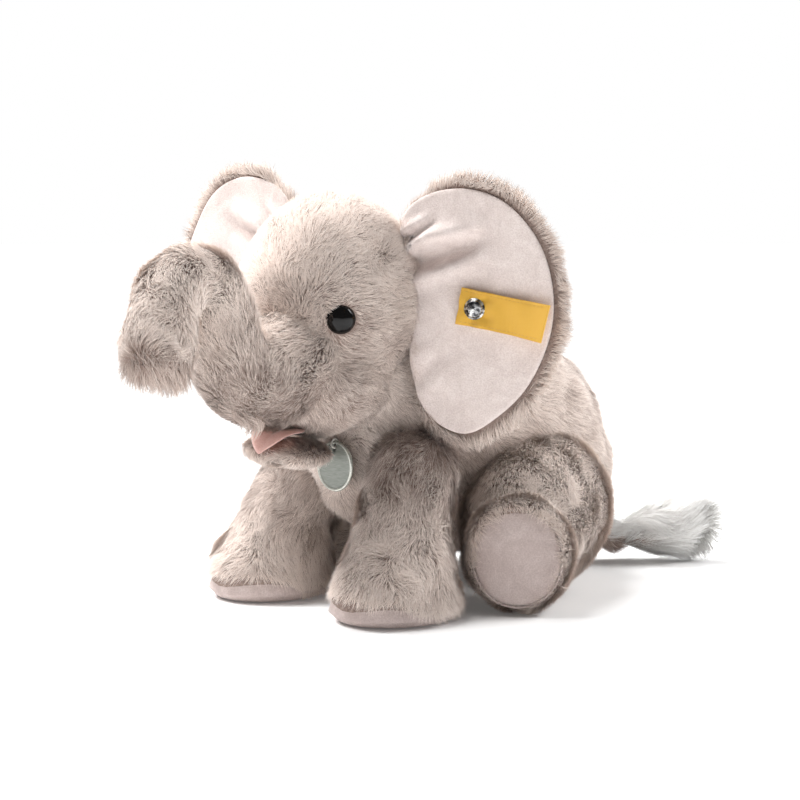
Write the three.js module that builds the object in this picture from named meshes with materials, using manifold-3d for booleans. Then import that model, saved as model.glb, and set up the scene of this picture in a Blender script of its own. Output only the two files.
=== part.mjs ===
// A seated stuffed elephant in long fur, sewn from separate panels over soft fillings.
// Millimetres, +Z up. The elephant faces -Y and its left side is +X.
// The origin is on the floor, under the middle of the object's box.

import * as THREE from 'three';
import { mergeVertices } from 'three/addons/utils/BufferGeometryUtils.js';
import Module from 'manifold-3d';

// ---- driving dimensions ----

const SHIFT = [6.1, -45.7, 0];  // moves the whole object so that its box is centred on the origin
const GAP = 0.35;               // clearance between neighbouring sewn pieces
const SWEEP_GAP = 0.8;          // clearance round a piece that swings
const FUR_CLOTH = 4;            // thickness of the fur fabric with its pile pressed down
const PANEL_SEAM = 0.4;         // gap between two panels at a seam
const GUSSET_HALF = 17;         // half the width of the forehead gusset
const BELLY_TOP = 34;           // height at which the belly panel meets the side panels

// The head is turned a little to its left and tipped a little to that side.
const HEAD_TURN = { at: [0, -2, 150], yaw: 10, roll: 3.5 };
const SKULL = { at: [0, -2, 159.5], r: [47, 49, 55] };
const MUZZLE = { at: [0, -16, 118], r: [40, 38, 27] };
const NECK_PIVOT = [0, 26, 122];
const NOD_RANGE = [-8, 3];

const TRUNK_PIVOT = [0, -34, 128];
const TRUNK_RANGE = [-12, 2];
const TRUNK = [
  // x, y, z, half width, half depth
  [0, -34, 128, 30, 30],
  [0, -57, 123, 27, 26],
  [0, -75, 126, 22, 21],
  [0, -85, 139, 18.5, 18],
  [0, -92, 156, 17, 16.5],
  [0, -101, 168, 16.5, 16],
  [0, -113, 172, 16, 15],
  [1, -125, 167.5, 16, 15],
  [3.5, -134, 157, 16.5, 15.5],
  [7, -140.5, 146, 16.5, 16],
  [11, -145.5, 136.5, 15.5, 15],
];
const TRUNK_TIP_AT = 1.5;       // where the end piece starts, past the last station

const LIP = { at: [0, -35, 83], r: [25, 20, 7.5] };
const MOUTH = { at: [0, -41, 92.2], r: [16, 14, 1.0] };

const EYE = { at: [33, -38, 152], r: 7.4, rise: 4.6, shank: 2, shankLong: 13 };
const WASHER = { r: 7, thick: 1.6, from: 8 };

const EAR_ROOT = [44, 8, 0];
const EAR_FUR = 5;
const EAR_VELOUR = 2.4;
const EAR_BOW = 4;              // how far the ear's outer edge bends back
const EAR_BACK = { left: 15, right: 4 };
// outline of the ear's velour face: out from the root, and height
const EAR_OUTLINE = [
  [-3, 152], [-4.5, 180], [-8, 203], [4, 215], [24, 219], [43, 214], [58, 201],
  [68, 183], [72, 163], [69, 141], [59, 120], [45, 105], [32, 97], [19, 99],
  [8, 108], [2, 121], [-1, 136],
];
const EAR_RIM = 5;              // how far the fur back stands out past the velour
const EAR_SLOT = { deep: 9, before: 9, behind: 13, low: 106, high: 216 };

const STUD = { out: 33, up: 160, r: 5.4, rise: 2.6, shank: 1.5 };
const STUD_WASHER = { r: 5, thick: 1 };
const TAB = { long: 46, wide: 18.5, thick: 0.9, before: 8.5, slant: -7, lift: 1.2 };

const BODY = [
  [0, 152, 56, 52, 46],
  [0, 134, 67, 59, 60],
  [0, 108, 86, 59, 59],
  [0, 74, 102, 54, 53],
  [0, 42, 112, 45, 44],
  [0, 18, 118, 36, 34],
];
const CHEST = { at: [0, 30, 84], r: [36, 37, 44] };
const FLOOR_CUT = 0;

const FRONT_PIVOT = [37, 21, 74];
const FRONT_RANGE = [-14, 0];
const FRONT_LEG = [
  [37, 21, 74, 21, 23],
  [39, 14, 58, 22, 24],
  [43, 6, 43, 23, 24],
  [46, 1, 24, 28, 30],
  [47, -2, 12, 31, 36],
  [47, -2, 3, 30, 35],
];
const SOLE_THICK = 4.5;
const FRONT_SOLE = { at: [47, -2], r: [29, 34] };

const HIND_PIVOT = [46, 106, 46];
const HIND_RANGE = [-12, 0];
const HIND_LEG = [
  [46, 106, 46, 40, 42],
  [60, 82, 41, 35, 38],
  [73, 62, 33, 29, 31],
  [83, 49, 31, 28, 30],
  [88, 43, 30.4, 26, 29],
];
const HIND_SOLE_R = [22, 24.6];
const PIPING_R = 1.1;

const TAIL_PIVOT = [0, 184, 28];
const TAIL_RANGE = [-12, 12];
const TAIL = [
  [0, 184, 28, 9, 9],
  [8, 197, 19, 8, 8],
  [18, 207, 14, 7.5, 7.5],
];
const TUFT = [
  [21.5, 210, 13.6, 7, 7],
  [31, 219, 17, 14, 13.5],
  [42, 229, 20, 16, 15],
  [52, 238, 23, 10, 9],
];

const DISC = { at: [11, -10.4, 74.5], r: 13, thick: 1.4, tilt: 2, hole: 1.5, holeIn: 2.8 };
const CORD = { r: 0.6, loop: 2.2, rise: 1.5 };

// ---- helpers ----

const wasm = await Module();
wasm.setup();

const toSolid = (geometry) => {
  const bare = geometry.clone();
  bare.deleteAttribute('normal');
  bare.deleteAttribute('uv');
  const merged = mergeVertices(bare, 1e-4);
  return new wasm.Manifold(new wasm.Mesh({
    numProp: 3,
    vertProperties: merged.attributes.position.array,
    triVerts: new Uint32Array(merged.index.array),
  }));
};

const toGeometry = (solid) => {
  const mesh = solid.getMesh();
  const geometry = new THREE.BufferGeometry();
  geometry.setAttribute('position', new THREE.BufferAttribute(mesh.vertProperties, 3));
  geometry.setIndex(new THREE.BufferAttribute(mesh.triVerts, 1));
  const flat = geometry.toNonIndexed();
  flat.computeVertexNormals();
  return flat;
};

const v3 = (p) => new THREE.Vector3(p[0], p[1], p[2]);

// Joins rings of points, each with the same count, and closes both ends with a single point.
const skinRings = (first, rings, last) => {
  const count = rings[0].length;
  const points = [first, ...rings.flat(), last];
  const end = points.length - 1;
  const index = [];
  for (let k = 0; k < count; k += 1) {
    const next = (k + 1) % count;
    index.push(0, 1 + next, 1 + k);
    for (let r = 0; r + 1 < rings.length; r += 1) {
      const a = 1 + r * count;
      const b = a + count;
      index.push(a + k, a + next, b + next, a + k, b + next, b + k);
    }
    const base = 1 + (rings.length - 1) * count;
    index.push(end, base + k, base + next);
  }
  const geometry = new THREE.BufferGeometry();
  const flat = points.flatMap((p) => [p.x, p.y, p.z]);
  geometry.setAttribute('position', new THREE.Float32BufferAttribute(flat, 3));
  geometry.setIndex(index);
  const solid = toSolid(geometry);
  if (solid.volume() > 0) return solid;
  const turned = [];
  for (let i = 0; i < index.length; i += 3) turned.push(index[i], index[i + 2], index[i + 1]);
  geometry.setIndex(turned);
  return toSolid(geometry);
};

// A rounded limb along stations of [x, y, z, half width, half depth], grown by `grow` all round.
// The rounded ends reach capStart and capEnd of the end radius past the end stations.
const limb = (stations, { grow = 0, around = 20, steps = 9, capStart = 1, capEnd = 1 } = {}) => {
  const curve = new THREE.CatmullRomCurve3(stations.map(v3), false, 'centripetal');
  const widths = stations.map((s) => [s[3] + grow, s[4] + grow]);
  const sideOf = (t) => {
    const flat = new THREE.Vector3(-t.y, t.x, 0);
    if (flat.lengthSq() < 0.05) flat.set(1, 0, 0);
    flat.normalize();
    return Math.abs(flat.x) > 0.3 && flat.x < 0 ? flat.negate() : flat;
  };
  const ringAt = (centre, tangent, w, d, scale) => {
    const side = Math.abs(tangent.x) < 0.3 ? new THREE.Vector3(1, 0, 0) : sideOf(tangent);
    side.addScaledVector(tangent, -side.dot(tangent)).normalize();
    const upward = new THREE.Vector3().crossVectors(tangent, side).normalize();
    return Array.from({ length: around }, (_, k) => {
      const angle = (k / around) * Math.PI * 2;
      return centre.clone()
        .addScaledVector(side, Math.cos(angle) * w * scale)
        .addScaledVector(upward, Math.sin(angle) * d * scale);
    });
  };
  const rings = [];
  const startT = curve.getTangent(0);
  const endT = curve.getTangent(1);
  const startW = widths[0];
  const endW = widths[widths.length - 1];
  const reach = (w, cap) => Math.min(w[0], w[1]) * cap;
  const capSteps = [75, 50, 25];
  for (const degrees of capSteps) {
    const a = THREE.MathUtils.degToRad(degrees);
    const centre = v3(stations[0]).addScaledVector(startT, -Math.sin(a) * reach(startW, capStart));
    rings.push(ringAt(centre, startT, startW[0], startW[1], Math.cos(a)));
  }
  for (let i = 0; i <= steps; i += 1) {
    const u = i / steps;
    const place = u * (stations.length - 1);
    const low = Math.min(Math.floor(place), stations.length - 2);
    const mix = place - low;
    const w = THREE.MathUtils.lerp(widths[low][0], widths[low + 1][0], mix);
    const d = THREE.MathUtils.lerp(widths[low][1], widths[low + 1][1], mix);
    rings.push(ringAt(curve.getPoint(u), curve.getTangent(u), w, d, 1));
  }
  for (const degrees of [...capSteps].reverse()) {
    const a = THREE.MathUtils.degToRad(degrees);
    const centre = v3(stations[stations.length - 1])
      .addScaledVector(endT, Math.sin(a) * reach(endW, capEnd));
    rings.push(ringAt(centre, endT, endW[0], endW[1], Math.cos(a)));
  }
  const first = v3(stations[0]).addScaledVector(startT, -reach(startW, capStart));
  const last = v3(stations[stations.length - 1]).addScaledVector(endT, reach(endW, capEnd));
  return skinRings(first, rings, last);
};

const egg = ({ at, r }, grow = 0, [around, high] = [20, 12]) => {
  const ball = new THREE.SphereGeometry(1, around, high);
  ball.rotateX(Math.PI / 2);
  ball.scale(r[0] + grow, r[1] + grow, r[2] + grow);
  ball.translate(...at);
  return toSolid(ball);
};

const slab = (low, high) => {
  const box = new THREE.BoxGeometry(high[0] - low[0], high[1] - low[1], high[2] - low[2]);
  box.translate((high[0] + low[0]) / 2, (high[1] + low[1]) / 2, (high[2] + low[2]) / 2);
  return toSolid(box);
};

const FAR = 600;
const aboveFloor = (z) => slab([-FAR, -FAR, z], [FAR, FAR, FAR]);
const between = (axis, low, high) => {
  const a = [-FAR, -FAR, -FAR];
  const b = [FAR, FAR, FAR];
  a[axis] = low;
  b[axis] = high;
  return slab(a, b);
};

// A round peg from `base` along `direction`.
const peg = (base, direction, r, long, around = 16) => {
  const rod = new THREE.CylinderGeometry(r, r, long, around);
  rod.translate(0, long / 2, 0);
  const turn = new THREE.Quaternion().setFromUnitVectors(
    new THREE.Vector3(0, 1, 0), direction.clone().normalize());
  rod.applyQuaternion(turn);
  rod.translate(base.x, base.y, base.z);
  return toSolid(rod);
};

const mirrored = (solid) => solid.mirror([1, 0, 0]);

const turnAbout = (pivot, axis, degrees) => new THREE.Matrix4()
  .makeTranslation(...pivot)
  .multiply(new THREE.Matrix4().makeRotationAxis(
    v3(axis).normalize(), THREE.MathUtils.degToRad(degrees)))
  .multiply(new THREE.Matrix4().makeTranslation(...pivot.map((c) => -c)));

// Everything that a solid passes through while it turns between two angles.
const sweep = (solid, pivot, axis, [low, high], steps = 3) => {
  const turned = [];
  for (let i = 0; i <= steps; i += 1) {
    const degrees = THREE.MathUtils.lerp(low, high, i / steps);
    turned.push(solid.transform(turnAbout(pivot, axis, degrees).elements));
  }
  return wasm.Manifold.union(turned);
};

const X_AXIS = [1, 0, 0];
const Z_AXIS = [0, 0, 1];

// ---- materials ----

const cloth = (color, roughness = 0.95) => new THREE.MeshStandardMaterial({ color, roughness });
const FUR = () => cloth('#a3928a');
const VELOUR = () => cloth('#d9c5be', 0.9);
const FILLING = () => cloth('#f1efe9');
const SALMON = () => cloth('#d88d7d', 0.85);
const GOLD = () => cloth('#e9b53c', 0.8);
const CORD_CLOTH = () => cloth('#e4e0d8');
const BLACK = () => new THREE.MeshStandardMaterial({ color: '#0a0908', roughness: 0.08 });
const CLEAR = () => new THREE.MeshStandardMaterial({ color: '#d9dad8', roughness: 0.5 });
const STEEL = () => new THREE.MeshStandardMaterial({
  color: '#b9b9bb', roughness: 0.25, metalness: 1 });
const SATIN = () => new THREE.MeshStandardMaterial({
  color: '#7c8679', roughness: 0.4, metalness: 0.3 });

const elephant = new THREE.Group();
elephant.position.set(...SHIFT);

const headPivot = v3(HEAD_TURN.at);
const headTurn = new THREE.Quaternion()
  .setFromAxisAngle(new THREE.Vector3(0, 0, 1), THREE.MathUtils.degToRad(HEAD_TURN.yaw))
  .multiply(new THREE.Quaternion().setFromAxisAngle(
    new THREE.Vector3(0, 1, 0), THREE.MathUtils.degToRad(HEAD_TURN.roll)));
const head = new THREE.Group();
head.quaternion.copy(headTurn);
head.position.copy(headPivot.clone().sub(headPivot.clone().applyQuaternion(headTurn)));
head.updateMatrix();
elephant.add(head);

const addPiece = (name, solid, material, group = elephant) => {
  const mesh = new THREE.Mesh(toGeometry(solid), material);
  mesh.name = name;
  group.add(mesh);
};
const addHeadPiece = (name, solid, material) => addPiece(name, solid, material, head);

// ---- outer shapes, grown for skins, cavities and clearances ----

const floorHalf = aboveFloor(FLOOR_CUT);
const FINE = [20, 12];          // segments round and along an egg-shaped solid
const PLAIN = [10, 6];          // the same for hidden clearances, which are grown a little more
const INSIDE = [12, 8];         // the same for cavities and the fillings in them
const PLAIN_EXTRA = 3.6;
const trunkShape = (grow, more = {}) => limb(TRUNK, { grow, steps: 14, around: 14, ...more });
const headCore = (grow, count = FINE) => egg(SKULL, grow, count).add(egg(MUZZLE, grow, count));
const frontShape = (grow, around = 16) => limb(FRONT_LEG, {
  grow, steps: 7, around, capStart: 0.9, capEnd: 0.12 });
const hindShape = (grow, around = 16) => limb(HIND_LEG, {
  grow, steps: 5, around, capStart: 0.95, capEnd: 0.1 });
const bodyShape = (grow, around = 20) => limb(BODY, { grow, steps: 8, around, capStart: 0.72 })
  .add(egg(CHEST, grow, [16, 10]));
const tailShape = (grow) => limb(TAIL, { grow, steps: 3, around: 10, capEnd: 0.25 });
const tuftShape = (grow) => limb(TUFT, { grow, steps: 6, around: 14, capStart: 0.25, capEnd: 0.9 });

// ---- ears ----

const EAR_POINTS = 28;
const outlineCurve = (points) => {
  const line = new THREE.SplineCurve([...points, points[0]].map((p) => new THREE.Vector2(...p)));
  return line.getSpacedPoints(EAR_POINTS).slice(0, EAR_POINTS);
};
const EAR_CENTRE = new THREE.Vector2(42, 150);
const earBend = (out) => EAR_BOW * THREE.MathUtils.smoothstep(out, 10, 95);

// A leaf of cloth inside the ear's outline: `low` and `high` are its faces' places, front to back.
const earLeaf = (grow, low, high) => {
  const outline = outlineCurve(EAR_OUTLINE);
  const rim = outline.map((p, i) => {
    const before = outline[(i + EAR_POINTS - 1) % EAR_POINTS];
    const after = outline[(i + 1) % EAR_POINTS];
    const out = new THREE.Vector2(before.y - after.y, after.x - before.x).normalize();
    if (out.dot(p.clone().sub(EAR_CENTRE)) < 0) out.negate();
    const rooted = THREE.MathUtils.smoothstep(p.x, 0, 18);
    return p.clone().addScaledVector(out, grow * rooted);
  });
  const face = (share, at, pull) => rim.map((p) => {
    const q = EAR_CENTRE.clone().lerp(p, share);
    return new THREE.Vector3(EAR_ROOT[0] + q.x, EAR_ROOT[1] + at + pull + earBend(q.x), q.y);
  });
  const shares = [0.55, 0.88];
  const thick = high - low;
  const rings = [
    ...shares.map((s) => face(s, low, 0)),
    face(1, low, thick * 0.3),
    face(1, high, -thick * 0.3),
    ...[...shares].reverse().map((s) => face(s, high, 0)),
  ];
  const middle = (at) => new THREE.Vector3(
    EAR_ROOT[0] + EAR_CENTRE.x, EAR_ROOT[1] + at + earBend(EAR_CENTRE.x), EAR_CENTRE.y);
  return skinRings(middle(low), rings, middle(high));
};

const velourShape = (grow = 0) => earLeaf(grow, -EAR_VELOUR - grow, grow);
const earFurShape = (grow = 0) => earLeaf(EAR_RIM + grow, GAP - grow, GAP + EAR_FUR + grow);

const earTurned = (side, solid) => (side === 'left'
  ? solid.transform(turnAbout(EAR_ROOT, Z_AXIS, EAR_BACK.left).elements)
  : mirrored(solid.transform(turnAbout(EAR_ROOT, Z_AXIS, EAR_BACK.right).elements)));

const studFace = new THREE.Vector3(EAR_ROOT[0] + STUD.out, 0, STUD.up);
const velourFront = EAR_ROOT[1] + earBend(STUD.out) - EAR_VELOUR;
const furBehind = EAR_ROOT[1] + earBend(STUD.out) + GAP + EAR_FUR;

const shankHole = peg(new THREE.Vector3(studFace.x, velourFront - 12, studFace.z),
  new THREE.Vector3(0, 1, 0), STUD.shank + GAP, 30, 8);

addHeadPiece('ear_left_velour', earTurned('left', velourShape().subtract(shankHole)), VELOUR());
addHeadPiece('ear_left_fur', earTurned('left', earFurShape().subtract(shankHole)), FUR());
addHeadPiece('ear_right_velour', earTurned('right', velourShape()), VELOUR());
addHeadPiece('ear_right_fur', earTurned('right', earFurShape()), FUR());

// ---- tab and stud on the left ear ----

const tabPlane = velourFront - TAB.lift - TAB.thick / 2;
const tabShape = new THREE.Shape();
const tabLeft = -TAB.before;
const tabRight = TAB.long - TAB.before;
tabShape.moveTo(tabLeft, -TAB.wide / 2);
tabShape.lineTo(tabRight, -TAB.wide / 2);
tabShape.lineTo(tabRight, TAB.wide / 2);
tabShape.lineTo(tabLeft, TAB.wide / 2);
const tabGeometry = new THREE.ExtrudeGeometry(tabShape, {
  depth: TAB.thick, bevelEnabled: false });
tabGeometry.translate(0, 0, -TAB.thick / 2);
tabGeometry.rotateX(Math.PI / 2);
tabGeometry.rotateY(THREE.MathUtils.degToRad(-TAB.slant));
tabGeometry.translate(studFace.x, tabPlane, studFace.z);
const tabSolid = toSolid(tabGeometry).subtract(shankHole);
addHeadPiece('ear_tab', earTurned('left', tabSolid), GOLD());

const capBack = tabPlane - TAB.thick / 2 - GAP;
const studProfile = [
  [0, -STUD.rise], [STUD.r * 0.45, -STUD.rise * 0.9], [STUD.r * 0.8, -STUD.rise * 0.55],
  [STUD.r, -STUD.rise * 0.1], [STUD.r, 0], [STUD.shank, 0],
  [STUD.shank, furBehind - capBack + GAP], [0, furBehind - capBack + GAP],
].map((p) => new THREE.Vector2(...p));
const studGeometry = new THREE.LatheGeometry(studProfile, 20);
studGeometry.translate(studFace.x, capBack, studFace.z);
let studSolid = toSolid(studGeometry);
if (studSolid.volume() < 0) {
  studSolid = toSolid(new THREE.LatheGeometry([...studProfile].reverse(), 20)
    .translate(studFace.x, capBack, studFace.z));
}
addHeadPiece('ear_stud', earTurned('left', studSolid), STEEL());
const studWasher = peg(
  new THREE.Vector3(studFace.x, furBehind + GAP * 2 + 0.2, studFace.z),
  new THREE.Vector3(0, 1, 0), STUD_WASHER.r, STUD_WASHER.thick, 20);
addHeadPiece('ear_stud_washer', earTurned('left', studWasher), CLEAR());

// ---- eyes ----

const eyeSeat = v3(EYE.at);
const eyeLook = new THREE.Vector3(
  (EYE.at[0] - SKULL.at[0]) / SKULL.r[0] ** 2,
  (EYE.at[1] - SKULL.at[1]) / SKULL.r[1] ** 2,
  (EYE.at[2] - SKULL.at[2]) / SKULL.r[2] ** 2,
).normalize();
const onSkull = (() => {
  const from = v3(SKULL.at);
  const d = eyeSeat.clone().sub(from);
  const size = Math.hypot(d.x / SKULL.r[0], d.y / SKULL.r[1], d.z / SKULL.r[2]);
  return from.addScaledVector(d, 1 / size);
})();
const domeProfile = [
  [0, EYE.rise], [EYE.r * 0.4, EYE.rise * 0.92], [EYE.r * 0.75, EYE.rise * 0.66],
  [EYE.r * 0.95, EYE.rise * 0.32], [EYE.r, 0], [EYE.r * 0.9, -0.9], [EYE.shank, -1],
  [EYE.shank, -EYE.shankLong], [0, -EYE.shankLong],
].reverse().map((p) => new THREE.Vector2(...p));
const placeEye = (geometry) => {
  geometry.applyQuaternion(new THREE.Quaternion().setFromUnitVectors(
    new THREE.Vector3(0, 1, 0), eyeLook));
  return geometry.translate(onSkull.x, onSkull.y, onSkull.z);
};
const inward = eyeLook.clone().negate();
const eyeSolid = toSolid(placeEye(new THREE.LatheGeometry(domeProfile, 16)));
const eyeSocket = peg(onSkull.clone().addScaledVector(eyeLook, 9), inward, EYE.r + GAP * 2, 10.4, 14)
  .add(peg(onSkull, inward, EYE.shank + GAP, EYE.shankLong + GAP, 8));
const washerAt = onSkull.clone().addScaledVector(inward, WASHER.from);
const washerSolid = peg(washerAt, inward, WASHER.r, WASHER.thick, 12)
  .subtract(peg(onSkull, inward, EYE.shank + GAP, 20, 8));
const washerRoom = peg(onSkull.clone().addScaledVector(inward, WASHER.from - GAP),
  inward, WASHER.r + GAP * 2, WASHER.thick + 2 * GAP, 12);
for (const [side, place] of [['left', (s) => s], ['right', mirrored]]) {
  addHeadPiece(`eye_${side}`, place(eyeSolid), BLACK());
  addHeadPiece(`eye_washer_${side}`, place(washerSolid), CLEAR());
}

// ---- trunk ----

const trunkTip = v3(TRUNK[TRUNK.length - 1]);
const trunkBeforeTip = v3(TRUNK[TRUNK.length - 2]);
const tipWay = trunkTip.clone().sub(trunkBeforeTip).normalize();
const TIP_REACH = 17.8;         // radius of the round cutter that works on the tip only
const tipPlane = (depth) => peg(
  trunkTip.clone().addScaledVector(tipWay, depth), tipWay, TIP_REACH, 40, 24);
const TIP_CAP = 0.4;
const trunkOuter = trunkShape(0, { capEnd: TIP_CAP });
const TRUNK_INSIDE = { steps: 11, around: 8 };
const trunkInner = trunkShape(-FUR_CLOTH, { capEnd: 1.2, ...TRUNK_INSIDE });
const tipPiece = trunkShape(-FUR_CLOTH * 0.35, { capEnd: TIP_CAP * 1.1 });
addHeadPiece('trunk_skin', trunkOuter.subtract(tipPlane(TRUNK_TIP_AT)).subtract(trunkInner), FUR());
addHeadPiece('trunk_tip', tipPiece.intersect(tipPlane(TRUNK_TIP_AT + GAP)), FUR());
addHeadPiece('trunk_filling',
  trunkShape(-FUR_CLOTH - 2 * GAP, { capEnd: 0.1, ...TRUNK_INSIDE }).subtract(tipPlane(TRUNK_TIP_AT - GAP)), FILLING());
// The trunk's root, which is all of it that lies inside the head.
const trunkRoot = (grow) => limb(TRUNK.slice(0, 4), { grow, steps: 4, around: 14 });

// ---- head ----

// The slots that the ears' roots sit in, wide enough for their swing.
const earSlot = slab(
  [EAR_ROOT[0] - EAR_SLOT.deep, EAR_ROOT[1] - EAR_SLOT.before, EAR_SLOT.low],
  [EAR_ROOT[0] + 40, EAR_ROOT[1] + EAR_SLOT.behind, EAR_SLOT.high]);
const earSlots = earSlot.add(mirrored(earSlot));
const lipShape = (grow, count = [14, 8]) => egg(LIP, grow, count);
const mouthShape = (grow) => egg(MOUTH, grow, [14, 4]);
const mouthRoom = lipShape(GAP).add(mouthShape(GAP));
const trunkRoom = sweep(trunkRoot(SWEEP_GAP), TRUNK_PIVOT, X_AXIS, TRUNK_RANGE, 1);
const headMinus = trunkRoom.add(earSlots).add(mouthRoom);
const headOuter = headCore(0);
const headInner = headCore(-FUR_CLOTH, INSIDE);
const sockets = eyeSocket.add(mirrored(eyeSocket));
const washers = washerRoom.add(mirrored(washerRoom));

const headSkin = headOuter.subtract(headInner).subtract(headMinus).subtract(sockets);
const largest = (solid) => {
  const parts = solid.decompose();
  return parts.reduce((best, part) => (part.volume() > best.volume() ? part : best));
};
const sidePanel = headSkin.intersect(between(0, GUSSET_HALF + PANEL_SEAM / 2, FAR));
addHeadPiece('head_side_left', largest(sidePanel), FUR());
addHeadPiece('head_side_right', mirrored(largest(sidePanel)), FUR());
const gusset = headSkin.intersect(
  between(0, -GUSSET_HALF + PANEL_SEAM / 2, GUSSET_HALF - PANEL_SEAM / 2));
addHeadPiece('head_gusset', largest(gusset), FUR());
addHeadPiece('head_filling', largest(headCore(-FUR_CLOTH - 2 * GAP, INSIDE)
  .subtract(trunkRoom).subtract(mouthRoom).subtract(sockets).subtract(washers)
  .subtract(earSlots)), FILLING());

const lipSolid = lipShape(0).subtract(trunkRoom).subtract(mouthShape(GAP));
addHeadPiece('lower_lip', largest(lipSolid), FUR());
addHeadPiece('mouth_lining', largest(mouthShape(0).subtract(trunkRoom)), SALMON());

// ---- what the body must leave room for ----

const roomFor = (extra, eggCount, around) => {
  const grow = SWEEP_GAP + extra;
  const nodding = sweep(headCore(grow, eggCount).add(lipShape(grow, eggCount)),
    NECK_PIVOT, X_AXIS, NOD_RANGE, 1).transform(head.matrix.elements);
  const front = sweep(frontShape(grow, around), FRONT_PIVOT, X_AXIS, FRONT_RANGE, 1);
  const hind = sweep(hindShape(grow, around), HIND_PIVOT, X_AXIS, HIND_RANGE, 1);
  const tail = sweep(tailShape(grow), TAIL_PIVOT, Z_AXIS, TAIL_RANGE, 1);
  return wasm.Manifold.union([nodding, front, mirrored(front), hind, mirrored(hind), tail]);
};
const bodyMinus = roomFor(1.3, [14, 9], 12);
const fillingMinus = roomFor(PLAIN_EXTRA, PLAIN, 8);

// ---- body ----

const bodySkin = bodyShape(0).intersect(floorHalf)
  .subtract(bodyShape(-FUR_CLOTH, 12).intersect(aboveFloor(FLOOR_CUT + FUR_CLOTH)))
  .subtract(bodyMinus);
const upperSkin = bodySkin.intersect(aboveFloor(BELLY_TOP + PANEL_SEAM / 2));
const bodySide = upperSkin.intersect(between(0, PANEL_SEAM / 2, FAR));
addPiece('body_side_left', largest(bodySide), FUR());
addPiece('body_side_right', largest(upperSkin.intersect(between(0, -FAR, -PANEL_SEAM / 2))), FUR());
addPiece('body_seat', largest(bodySkin.intersect(between(2, -FAR, BELLY_TOP - PANEL_SEAM / 2))),
  FUR());
addPiece('body_filling', largest(bodyShape(-FUR_CLOTH - 2 * GAP, 12)
  .intersect(aboveFloor(FLOOR_CUT + FUR_CLOTH + GAP)).subtract(fillingMinus)), FILLING());

// ---- legs ----

const soleSlab = (spec, low, high, inset) => {
  const disc = new THREE.CylinderGeometry(1, 1, high - low, 24);
  disc.rotateX(Math.PI / 2);
  disc.scale(spec.r[0] - inset, spec.r[1] - inset, 1);
  disc.translate(spec.at[0], spec.at[1], (low + high) / 2);
  return toSolid(disc);
};
const frontSkin = frontShape(0).intersect(aboveFloor(SOLE_THICK + GAP))
  .subtract(frontShape(-FUR_CLOTH, 10));
const frontFilling = frontShape(-FUR_CLOTH - 6 * GAP, 10).intersect(aboveFloor(SOLE_THICK + GAP));
const frontSole = soleSlab(FRONT_SOLE, 0, SOLE_THICK, 0);

const hindEnd = v3(HIND_LEG[HIND_LEG.length - 1]);
const hindWay = hindEnd.clone().sub(v3(HIND_LEG[HIND_LEG.length - 2])).setZ(0).normalize();
const hindTurn = new THREE.Quaternion().setFromUnitVectors(new THREE.Vector3(0, 1, 0), hindWay);
const hindDisc = (r, from, thick) => {
  const disc = new THREE.CylinderGeometry(1, 1, thick, 24);
  disc.scale(r[0], 1, r[1]);
  disc.translate(0, from + thick / 2, 0);
  disc.applyQuaternion(hindTurn);
  return toSolid(disc.translate(hindEnd.x, hindEnd.y, hindEnd.z));
};
const beyond = (from) => hindDisc([90, 90], from, 90);
const HIND_FLAT = 0.6;
const SOLE_DEEP = 3;
const soleWell = hindDisc(HIND_SOLE_R, HIND_FLAT - SOLE_DEEP, 20);
const hindInner = hindShape(-FUR_CLOTH, 10).add(hindDisc(
  [HIND_SOLE_R[0] - 2, HIND_SOLE_R[1] - 2], -8, 20));
const hindSkin = hindShape(0).intersect(floorHalf).subtract(beyond(HIND_FLAT))
  .subtract(hindInner.intersect(aboveFloor(FUR_CLOTH * 0.6))).subtract(soleWell);
const hindSole = hindDisc([HIND_SOLE_R[0] - GAP, HIND_SOLE_R[1] - GAP],
  HIND_FLAT - SOLE_DEEP + GAP, SOLE_DEEP + 0.9);
const hindFilling = hindShape(-FUR_CLOTH - 2 * GAP, 10).intersect(aboveFloor(FUR_CLOTH))
  .subtract(beyond(HIND_FLAT - SOLE_DEEP - GAP));
class OvalCurve extends THREE.Curve {
  getPoint(t) {
    const a = t * Math.PI * 2;
    const p = new THREE.Vector3(Math.cos(a) * (HIND_SOLE_R[0] + 1.5),
      HIND_FLAT + PIPING_R + GAP, Math.sin(a) * (HIND_SOLE_R[1] + 1.5));
    return p.applyQuaternion(hindTurn).add(hindEnd);
  }
}
const pipingGeometry = new THREE.TubeGeometry(new OvalCurve(), 24, PIPING_R, 5, true);
const piping = toSolid(pipingGeometry).subtract(
  hindDisc([HIND_SOLE_R[0], HIND_SOLE_R[1]], -5, 20));
for (const [side, place] of [['left', (s) => s], ['right', mirrored]]) {
  addPiece(`front_leg_${side}_skin`, place(largest(frontSkin)), FUR());
  addPiece(`front_leg_${side}_sole`, place(frontSole), VELOUR());
  addPiece(`front_leg_${side}_filling`, place(frontFilling), FILLING());
  addPiece(`hind_leg_${side}_skin`, place(largest(hindSkin)), FUR());
  addPiece(`hind_leg_${side}_sole`, place(hindSole), VELOUR());
  addPiece(`hind_leg_${side}_piping`, place(piping), VELOUR());
  addPiece(`hind_leg_${side}_filling`, place(largest(hindFilling)), FILLING());
}

// ---- tail ----

addPiece('tail_sleeve', tailShape(0), FUR());
addPiece('tail_tuft', tuftShape(0).subtract(tailShape(GAP)), cloth('#c9c8c3', 0.9));

// ---- chest disc on its cord ----

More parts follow.
